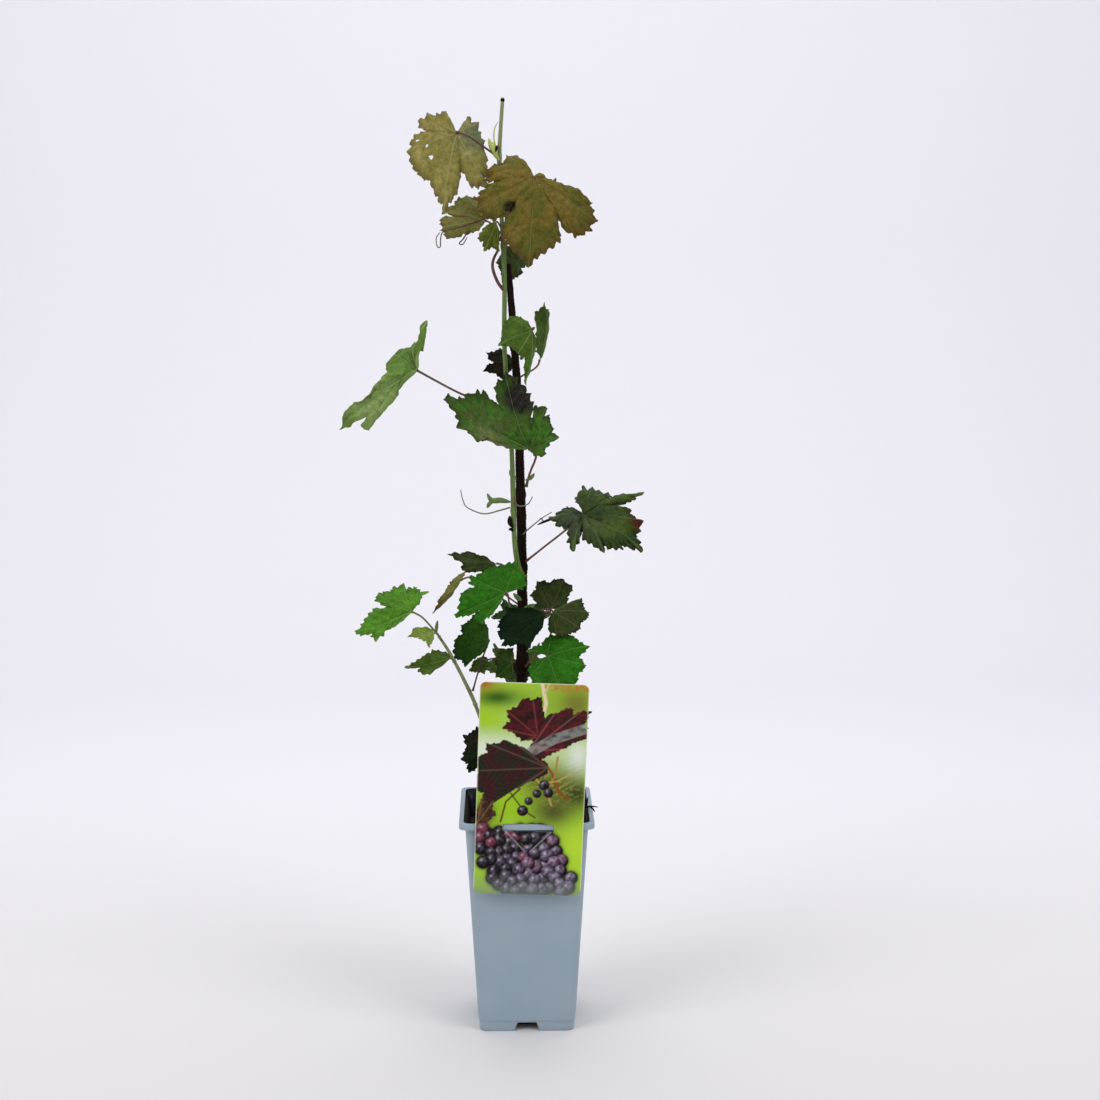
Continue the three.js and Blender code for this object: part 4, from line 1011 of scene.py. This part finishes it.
def soil_piece(material):
    """Compost: rounded squares from the middle out over a lumpy top, then down the pot's wall. Its top
    falls by 2.5 s^3 towards the wall, at share s of the way out."""
    places = np.linspace(-0.9, 0.9, 16)
    rings = []
    for share in np.linspace(0.02, 1, 46):
        half = share * SOIL_HALF
        flat = square_ring(half, SOIL_CORNER, 6, places * half * 0.8)
        rings.append(np.column_stack([flat, np.full(len(flat), SOIL_TOP - 0.3 - 2.5 * share**3)]))
    rings = np.array(rings)
    lumps = 0.9 * wobble(rings, 16, 3) + 0.5 * wobble(rings, 6, 4) + 0.35 * wobble(rings, 2.6, 5)
    rings[..., 2] = np.minimum(rings[..., 2] + lumps, SOIL_TOP + 2.2)
    deep = [(51.0, 165), (47.4, 120), (43.2, 60), (40.6, 16), (38, 12.6), (2, 12.6)]
    below = [
        np.column_stack([square_ring(half, SOIL_CORNER, 6, places * half * 0.8), np.full(rings.shape[1], z)])
        for half, z in deep]
    rings = np.concatenate([rings, np.array(below)])[::-1]
    points, faces = closed_tube(rings)
    return make_piece("compost", points, faces, [material], ["soil"], sharp=70)


CRUMB_SIDES = 7


def crumbs_piece(material, count=900):
    """Lumps of compost on the surface: squashed, knobbly seven-sided balls about 1 to 4 mm across, seeded."""
    rng = np.random.default_rng(11)
    place = rng.uniform(-48, 48, (count, 2))
    size = 0.5 + 1.4 * rng.random(count) ** 3
    latitude = np.linspace(-1, 1, 4) * 1.1
    longitude = np.arange(CRUMB_SIDES) / CRUMB_SIDES * 2 * np.pi
    ball = np.stack([
        np.cos(latitude)[:, None] * np.cos(longitude), np.cos(latitude)[:, None] * np.sin(longitude),
        np.sin(latitude)[:, None] * np.ones(CRUMB_SIDES)], 2)
    parts = []
    for (x, y), radius in zip(place, size):
        stretch = rng.uniform(0.6, 1.5, 3) * radius
        rings = ball * stretch * (1 + 0.2 * rng.normal(size=ball.shape[:2]))[..., None]
        edge = max(abs(x), abs(y)) / 51
        parts.append(closed_tube(rings + [x, y, SOIL_TOP - 0.1 - 2.5 * edge**3]))
    points, faces = join(parts)
    return make_piece("compost_crumbs", points, faces, [material], sharp=80)


# ---------------------------------------------------------------- card


CARD_SIZE = np.array([95.0, 192.0])
CARD_LEAN = math.radians(2.2)
CARD_CORNER = 6.0
CARD_THICKNESS = 0.45
CARD_MIDDLE = (CARD_LOW + CARD_HIGH) / 2
SLOT_HALF = 22.5  # half its width
SLOT_X = -1.0  # its middle, from the card's middle line
SLOT_Z = RIM_TOP - RIM_HEIGHT / 2 - CARD_MIDDLE[2]  # its middle, at the middle of the rim
SLOT_RISE = 3.3  # half its height


def card_place(x, z):
    """A point of the card from its own flat coordinates. The card leans to the right, and by the rim's slot
    its middle is pressed back by 2 cos^2(pi x / 2w) exp(-(dz/26)^2). Its ends bow forwards by 2.2
    (dz/120)^2."""
    pressed = np.clip(np.abs(x - SLOT_X) / SLOT_HALF, 0, 1)
    back = 2.0 * np.cos(pressed * np.pi / 2) ** 2 * np.exp(-(((z - SLOT_Z) / 26) ** 2))
    bow = -2.2 * ((z - SLOT_Z) / 120) ** 2
    turned_x = x * math.cos(CARD_LEAN) + z * math.sin(CARD_LEAN)
    turned_z = z * math.cos(CARD_LEAN) - x * math.sin(CARD_LEAN)
    y = np.full_like(turned_x, CARD_LOW[1] + 0.25) + back + bow
    return np.stack([turned_x + CARD_MIDDLE[0], y, turned_z + CARD_MIDDLE[2]], -1)


def blot(x, down, centre, radii):
    """A soft round patch, 1 in its middle: exp(-((x - cx) / rx)^2 - ((d - cd) / rd)^2)."""
    return np.exp(-(((x - centre[0]) / radii[0]) ** 2) - ((down - centre[1]) / radii[1]) ** 2)


def stroke(x, down, line, width):
    """1 within half a width of a line of straight runs, 0 beyond, with a soft edge."""
    nearest = np.full_like(x, 1e9)
    for (ax, ay), (bx, by) in zip(line[:-1], line[1:]):
        run = np.array([bx - ax, by - ay])
        t = np.clip(((x - ax) * run[0] + (down - ay) * run[1]) / (run @ run), 0, 1)
        nearest = np.minimum(nearest, np.hypot(x - ax - t * run[0], down - ay - t * run[1]))
    return np.clip(0.5 + (width / 2 - nearest) / 0.7, 0, 1)


def paint(picture, cover, colour):
    """Covers the picture with a colour, by 0 to 1 at each point."""
    return picture + (np.array(colour) - picture) * cover[:, None]


def printed_leaf(picture, x, down, stalk, tips, cuts, ribs, skins, seed):
    """A flat vine leaf on the print: inside its toothed outline, mottled between two skins, with pale
    veins."""
    leaf = dict(lobes=[(a, 0.0, -b) for a, b in tips], cuts=cuts, heart=(0.55, 0.55))
    rim, where = rim_of(leaf, 0.8)
    edge = toothed(rim, where, np.array(ribs, float), 0.42, seed)
    bearing = np.unwrap(np.arctan2(edge[:, 2], edge[:, 0]))
    if bearing[0] > bearing[-1]:
        edge, bearing, where, ribs = edge[::-1], bearing[::-1], -where[::-1], [-r for r in ribs]
    bearing = np.maximum.accumulate(bearing) + 1e-6 * np.arange(len(bearing))
    middle = bearing.mean()
    right, up = x - stalk[0], stalk[1] - down
    angle = (np.arctan2(up, right) - middle + np.pi) % (2 * np.pi) - np.pi + middle
    reach = np.interp(angle, bearing, np.linalg.norm(edge, axis=1), left=0, right=0)
    radius = np.hypot(right, up)
    cover = np.clip(0.5 + (reach - radius) / 0.7, 0, 1)
    off = angle[:, None] - np.interp(ribs, where, bearing)[None, :]
    off = np.take_along_axis(off, np.abs(off).argmin(1)[:, None], 1)[:, 0]
    along, across = radius * np.cos(off), radius * np.abs(np.sin(off))
    here = np.stack([x, down], 1)
    run = along - VEIN_SLOPE * across + 1.1 * wobble(here, 12, seed + 2)
    side = np.abs((run / 5.5 + 0.5) % 1 - 0.5) * 5.5
    veins = np.maximum(np.exp(-((across / 0.6) ** 2)), 0.2 * np.exp(-((side / 0.45) ** 2)))
    patches = np.clip(0.5 + 0.7 * wobble(here, 15, seed) + 0.4 * wobble(here, 4, seed + 1), 0, 1)
    picture = paint(picture, cover, linear(skins[0]))
    picture = paint(picture, cover * patches, linear(skins[1]))
    picture = paint(picture, cover * np.clip((radius - reach + 2.5) / 2.5, 0, 1) * 0.6, linear("#1c0d0e"))
    return paint(picture, cover * veins * 0.6, linear(skins[2]))


def printed_grapes(picture, x, down):
    """A bunch of blue-black grapes on the print: shaded discs with a pale bloom, the lower ones in front."""
    rng = np.random.default_rng(31)
    berries = []
    for cx, cd in zip(rng.uniform(2, 90, 2500), rng.uniform(133, 189, 2500)):
        left = np.interp(cd, (133, 165, 178, 190), (3, 6, 16, 24))
        right = np.interp(cd, (133, 165, 178, 190), (66, 80, 88, 90))
        if left < cx < right and all(math.hypot(cx - a, cd - b) > 6.6 for a, b in berries):
            berries.append((cx, cd))
    berries.sort(key=lambda place: place[1] + 6 * math.sin(place[0]))
    for cx, cd in berries:
        picture = paint(picture, np.clip(blot(x, down, (cx, cd), (7, 7)) * 2.0, 0, 1) ** 3, linear("#140c10"))
    berries += [(59, 92), (53, 100), (46, 107), (41, 116), (63, 99)]
    skins = [linear(c) for c in ("#0b060a", "#21161f", "#665472", "#7a2c40", "#b3a8b8")]
    here = np.stack([x, down], 1)
    bloom = np.clip(0.5 + 0.6 * wobble(here, 5, 8), 0, 1)
    for cx, cd in berries:
        size = rng.uniform(4.6, 6.4) * (0.8 if cd < 130 else 1)
        dx, dd = (x - cx) / size, (down - cd) / size
        far = np.hypot(dx, dd)
        cover = np.clip(0.5 + (1 - far) * size / 0.7, 0, 1)
        lit = np.clip(-0.35 * dx - 0.5 * dd + 0.8 * np.sqrt(np.clip(1 - far**2, 0, 1)), 0, 1)
        paleness = np.clip((cx - 30) / 75 + (cd - 152) / 80 + rng.uniform(-0.2, 0.2), 0, 1)
        ripe = np.array(skins[3] if rng.random() < 0.16 else skins[1])
        skin = ripe * (1 - paleness) + np.array(skins[2]) * paleness
        picture = paint(picture, cover, skins[0])
        picture = paint(picture, cover * lit, skin)
        picture = paint(picture, cover * lit**2 * bloom * (0.25 + 0.5 * paleness), skins[4])
        glint = np.exp(-((dx + 0.3) ** 2 + (dd + 0.35) ** 2) / 0.03)
        picture = paint(picture, cover * glint * 0.6, linear("#d8d0e0"))
    return picture


def card_picture(x, down):
    """The printed picture at points given in millimetres from the card's left and top edges: a garden out of
    focus, three red-brown vine leaves on a pale shoot, a tangle of dry stems, and a bunch of grapes. The
    V-shaped slits cut in the card are drawn on it as pale lines, a painted highlight on their edges."""
    picture = np.tile(np.array(linear("#a0c63a")), (len(x), 1))
    for centre, radii, share, colour in (
        ((6, 62), (60, 17), 1, "#dfe9d2"), ((16, 14), (22, 8), 1, "#2f5c12"),
        ((8, 34), (17, 9), 0.9, "#a2cc22"),
        ((50, 20), (20, 12), 0.5, "#7fae30"), ((84, 18), (18, 18), 0.85, "#70692c"),
        ((36, 32), (14, 12), 0.6, "#bcd67a"), ((87, 66), (12, 18), 0.95, "#e4ebdf"),
        ((70, 60), (10, 14), 0.6, "#c9d99c"), ((62, 92), (28, 18), 1, "#55601f"),
        ((88, 100), (14, 14), 1, "#26380f"),
        ((30, 112), (22, 18), 0.95, "#9ccb1e"), ((6, 120), (11, 12), 1, "#3a2818"),
        ((70, 116), (22, 15), 0.9, "#3a3224"), ((92, 148), (17, 26), 0.95, "#b4dc34"),
        ((6, 165), (13, 18), 0.9, "#9cc63a"), ((2, 0), (12, 7), 0.9, "#a8441a"),
    ):
        picture = paint(picture, blot(x, down, centre, radii) * share, linear(colour))
    here = np.stack([x, down], 1)
    dry = np.clip((x - 52) / 8, 0, 1) * np.clip((8 - down) / 3, 0, 1)
    picture = paint(picture, dry * np.clip(0.6 + 0.5 * wobble(here, 6, 2), 0, 1), linear("#b5793a"))
    tangle = blot(x, down, (66, 92), (24, 15)) * np.clip(wobble(here, 5, 6) * 1.6, 0, 1)
    picture = paint(picture, tangle, linear("#9a8a4a"))
    for line, width, colour in (
        (((54, 0), (56, 10), (58, 18), (55, 32), (52, 46)), 3.2, "#e2d3ac"),
        (((60, 0), (57, 8)), 2, "#d9b98a"),
        (((58, 70), (66, 82), (72, 98), (80, 104)), 2.2, "#8a4a20"),
        (((70, 66), (68, 84), (60, 98)), 1.6, "#a8813c"),
        (((84, 80), (70, 88), (58, 90)), 1.2, "#c0a058"), (((50, 84), (62, 100), (66, 110)), 1.4, "#b9a352"),
        (((22, 126), (26, 108), (38, 96)), 1.6, "#5a2f18"),
        (((30, 100), (42, 116), (52, 122)), 1.2, "#3a2012"),
        (((2, 130), (14, 138), (26, 142)), 1.8, "#5c3018"),
        (((4, 142), (14, 134), (30, 132)), 1.4, "#2c1a10"),
    ):
        picture = paint(picture, stroke(x, down, line, width), linear(colour))
    picture = printed_leaf(
        picture, x, down, (52, 48), ((2, 4), (-14, 3), (-30, -7), (-27, -22), (-14, -34), (2, -36), (6, -14)),
        (0.05, 0.05, 0.12, 0.08, 0.1, 0.05), (1, 2, 3, 4.5), ("#4c171d", "#281413", "#944640"), 41)
    picture = printed_leaf(
        picture, x, down, (44, 62), ((8, 8), (32, -4), (52, -14), (51, -38), (34, -41), (16, -34), (10, -14)),
        (0.05, 0.1, 0.1, 0.12, 0.08, 0.08), (1, 2.2, 3.2, 4.5), ("#521820", "#2e1e1d", "#a5584f"), 42)
    sheen = stroke(x, down, ((46, 62), (66, 50), (92, 40)), 9)
    sheen = sheen * np.clip(0.8 + 0.35 * wobble(here, 7, 12), 0, 1)
    picture = paint(picture, sheen * 0.75, linear("#8b948e"))
    picture = printed_leaf(
        picture, x, down, (62, 76),
        ((-8, 10), (-26, 18), (-42, 20), (-58, 40), (-64, 16), (-62, -6), (-54, -20), (-38, -24), (-20, -17),
         (-6, -7)),
        (0.05, 0.06, 0.08, 0.1, 0.05, 0.08, 0.06, 0.06, 0.05), (1, 3, 4.5, 6, 7.5),
        ("#3a161a", "#23241a", "#6f5a4a"), 43)
    picture = printed_leaf(
        picture, x, down, (2, 128), ((-1, -12), (4, -26), (12, -20), (16, -8)), (0.1, 0.1, 0.1), (1, 2),
        ("#5a3a22", "#35221a", "#8a6a44"), 44)
    picture = printed_grapes(picture, x, down)
    picture = paint(picture, np.clip((down - 172) / 20, 0, 1) ** 1.3 * 0.65, linear("#76837c"))
    # the V-shaped slits cut in the card: pale lines, a painted highlight along the cut edges
    for foot, head in ((44, 24), (49, 69)):
        picture = paint(picture, stroke(x, down, ((foot, 153), (head, 132)), 0.8) * 0.8, linear("#a89cae"))
    border = np.minimum(np.minimum(x, CARD_SIZE[0] - x), down)
    picture = paint(picture, np.clip(1.4 - border / 0.6, 0, 1) * 0.75, linear("#efe9d6"))
    return picture


def card_material():
    """Satin laminated card: the printed picture on the front under a clear film, plain white board behind."""
    material, tree, shader, place = new_material("laminated_printed_card")
    picture = add_node(tree, "Attribute", output="Color", attribute_name="picture")
    sheen, grain = (add_node(tree, "TexNoise", dict(zip(NOISE, row))) for row in (
        (place, 30.0, 2.0, 0.55), (place, 900.0, 2.0, 0.55)))
    dots = add_node(tree, "Math", (grain, 0.16, 0.92), operation="MULTIPLY_ADD")
    colour = add_node(tree, "Mix", {0: 1.0, 6: picture, 7: dots}, 2, data_type="RGBA", blend_type="MULTIPLY")
    roughness = add_node(tree, "Math", (sheen, 0.1, 0.3), operation="MULTIPLY_ADD")
    finish_material(tree, shader, colour, roughness, sheen, 0.00005, 0.3)
    shader.inputs["IOR"].default_value = 1.45
    shader.inputs["Specular IOR Level"].default_value = 0.12
    return material


def card_piece(material):
    """The card: a fine grid over a rectangle whose rows shorten at the ends to round its corners, with the
    slot's cells left out, made thick along Y. The picture is worked out at each point of the front."""
    half = CARD_SIZE / 2
    left, right, low, high = SLOT_X - SLOT_HALF, SLOT_X + SLOT_HALF, SLOT_Z - SLOT_RISE, SLOT_Z + SLOT_RISE
    xs = np.unique(np.concatenate([
        np.linspace(-half[0], left, 36), np.linspace(left, right, 66),
        np.linspace(right, half[0], 38)]).round(6))
    bend = CARD_CORNER * (1 - np.cos(np.linspace(0, np.pi / 2, 12)))
    zs = np.unique(np.concatenate([
        -half[1] + bend, np.linspace(-half[1] + CARD_CORNER, low, 68), np.linspace(low, high, 10),
        np.linspace(high, half[1] - CARD_CORNER, 180), half[1] - bend]).round(6))
    z_grid, x_grid = np.meshgrid(zs, xs, indexing="ij")
    inset = np.clip(CARD_CORNER - (half[1] - np.abs(z_grid)), 0, CARD_CORNER)
    cut = CARD_CORNER - np.sqrt(CARD_CORNER**2 - inset**2)
    flat_x = x_grid * (half[0] - cut) / half[0]
    front = card_place(flat_x, z_grid).reshape(-1, 3)
    quads = grid_faces(len(zs), len(xs))
    middle = np.stack([x_grid.ravel()[quads].mean(1), z_grid.ravel()[quads].mean(1)], 1)
    in_slot = (np.abs(middle[:, 0] - SLOT_X) < SLOT_HALF) & (np.abs(middle[:, 1] - SLOT_Z) < SLOT_RISE)
    quads = quads[~in_slot]
    count = len(front)
    rear = front + [0, CARD_THICKNESS, 0]
    rim_pairs = rim_edges([quads])
    band = np.stack([rim_pairs[:, 1], rim_pairs[:, 0], rim_pairs[:, 0] + count, rim_pairs[:, 1] + count], 1)
    faces = np.vstack([quads, quads[:, ::-1] + count, band])
    picture = card_picture(flat_x.ravel() + half[0], half[1] - z_grid.ravel())
    colours = np.vstack([picture, np.tile(linear("#e6e6e2"), (count, 1))])
    return make_piece("picture_card", np.vstack([front, rear]), [faces], [material], ["card"],
                      sharp=30, colours=colours)


# ---------------------------------------------------------------- the object

TINT_MATERIALS = {name: leaf_material(name, tint) for name, tint in TINTS.items()}
BARK = bark_material()
SHOOT = shoot_material("green_vine_shoot", "#546c30", "#6a8042", "#5e5a30", "#7c8558")
SIDE_SHOOT = shoot_material("olive_vine_shoot", "#707a48", "#8f9a70", "#6e6a3c")
STALK = shoot_material("reddish_leaf_stalk", "#4f2c26", "#6a4438", "#5c5434")
OLIVE_STALK = shoot_material("olive_leaf_stalk", "#5c6238", "#747a4a", "#64483a")
YOUNG = shoot_material("woolly_young_bud", "#a3b04c", "#bcc26a", "#c2b04c")
TENDRIL = shoot_material("dry_tendril", "#5c5c4c", "#77746a", "#5c3038")
SOIL = soil_material()

pot_piece(pot_materials())
soil_piece(SOIL)
crumbs_piece(SOIL)
card_piece(card_material())

limb_piece("trunk", 40, 0.9, bark_relief, (0.05, 0.29, 0.47, 0.6, 0.72, 0.86), BARK, 21)
limb_piece("main_shoot", 24, 1.0, shoot_relief, (0.0, 0.15, 0.34, 0.52, 0.7, 0.88), SHOOT, 22)
limb_piece("side_shoot", 22, 1.0, shoot_relief, (0.35, 0.6, 0.85, 1.0), SIDE_SHOOT, 23)

seats = {}
for number, (name, leaf) in enumerate(LEAVES.items()):
    seats[name] = blade_piece(name, leaf, 100 + 7 * number, TINT_MATERIALS[leaf["tint"]])

stalks = {limb: [] for limb in LIMBS}
for name, leaf in LEAVES.items():
    stalks[leaf["on"]].append(stalk_tube(name, leaf, seats[name]))
for piece_name, limbs, skin in (
    ("red_leaf_stalks", ("trunk", "main_shoot"), STALK), ("green_leaf_stalks", ("side_shoot",), OLIVE_STALK),
):
    points, faces = join([tube for limb in limbs for tube in stalks[limb]])
    nodes = [stalk for stalk, (leaf, line) in LONG_STALKS.items() if LEAVES[leaf]["on"] in limbs]
    make_piece(piece_name, points, faces, [skin], nodes, sharp=60)

for piece_name, skin in (("young_buds", YOUNG), ("green_buds", SHOOT), ("brown_buds", BARK)):
    points, faces = join([swollen(line, radius) for line, radius in BUDS[piece_name]])
    make_piece(piece_name, points, faces, [skin], sharp=60)

for piece_name, lines, skin in (("tendrils", TENDRILS[:3], TENDRIL), ("red_tendrils", TENDRILS[3:], STALK)):
    points, faces = join([
        closed_tube(sweep(line, lambda share: 0.75 - 0.35 * share, 8, 0.8)) for line in lines])
    make_piece(piece_name, points, faces, [skin], sharp=60)
points, faces = closed_tube(sweep(CUT_STUB, lambda share: 1.6 - 0.5 * share, 12, 0.8, shoot_relief))
make_piece("cut_side_shoot", points, faces, [STALK], sharp=60)


# ---------------------------------------------------------------- floor, light and camera


def studio():
    """A pale floor that sweeps up into a pale wall, painted darker towards the front as painted shade, three
    large soft lights and an even sky.
    """
    profile = [(-6.0, 0.0), (1.3, 0.0)]
    bend = np.linspace(0, np.pi / 2, 16)
    profile += list(zip(1.3 + 0.7 * np.sin(bend[1:]), 0.7 - 0.7 * np.cos(bend[1:])))
    profile += [(2.0, 3.4)]
    profile = np.array(profile)
    sides = np.linspace(-9, 9, 3)
    grid = np.array([[(x, y, z) for x in sides] for y, z in profile])
    mesh = bpy.data.meshes.new("backdrop")
    mesh.from_pydata(grid.reshape(-1, 3).tolist(), [], grid_faces(len(profile), 3)[:, ::-1].tolist())
    mesh.polygons.foreach_set("use_smooth", np.ones(len(mesh.polygons), bool))
    material, tree, shader, place = new_material("pale_paper_backdrop")
    tone = add_node(tree, "TexNoise", dict(zip(NOISE, (place, 0.6, 1.0, 0.55))))
    depth = add_node(tree, "SeparateXYZ", (place,), 1)
    # painted shade: floor and wall darker near the front and lighter towards the back, along Y
    colour = layered(tree, linear("#dddbdc"), ((depth, -0.4, 0.9, 1.0, "#f4f3f8"),))
    roughness = add_node(tree, "Math", (tone, 0.1, 0.85), operation="MULTIPLY_ADD")
    finish_material(tree, shader, colour, roughness)
    mesh.materials.append(material)
    backdrop = bpy.data.objects.new("backdrop", mesh)
    bpy.context.scene.collection.objects.link(backdrop)

    for name, place, aim, size, power in (
        ("left_softbox", (-1.9, -1.5, 1.9), (0, 0, 0.45), 1.6, 30),
        ("right_softbox", (1.9, -1.5, 1.9), (0, 0, 0.45), 1.6, 27),
        ("top_softbox", (0.0, 0.4, 2.6), (0, 0.1, 0.3), 1.8, 20),
    ):
        light = bpy.data.lights.new(name, "AREA")
        light.energy = power
        light.size = size
        lamp = bpy.data.objects.new(name, light)
        lamp.location = place
        back = np.array(place) - np.array(aim)
        tilt = math.atan2(math.hypot(back[0], back[1]), back[2])
        lamp.rotation_euler = (tilt, 0, math.atan2(back[0], -back[1]))
        bpy.context.scene.collection.objects.link(lamp)

    world = bpy.data.worlds.new("even_sky")
    world.use_nodes = True
    sky = world.node_tree.nodes["Background"]
    sky.inputs[0].default_value = linear("#f7f7fb")
    sky.inputs[1].default_value = 0.45
    bpy.context.scene.world = world
    bpy.context.scene.view_settings.view_transform = "Standard"


def camera():
    """A long lens a little above the plant's top, looking down on it by nine degrees."""
    data = bpy.data.cameras.new("camera")
    data.sensor_width = 36.0
    data.lens = 65.5
    data.clip_end = 30.0
    view = bpy.data.objects.new("camera", data)
    view.location = (-0.0170, -1.758, 0.724)
    view.rotation_euler = (math.radians(90 - 9.37), 0, math.radians(-1.26))
    bpy.context.scene.collection.objects.link(view)
    bpy.context.scene.camera = view


studio()
camera()
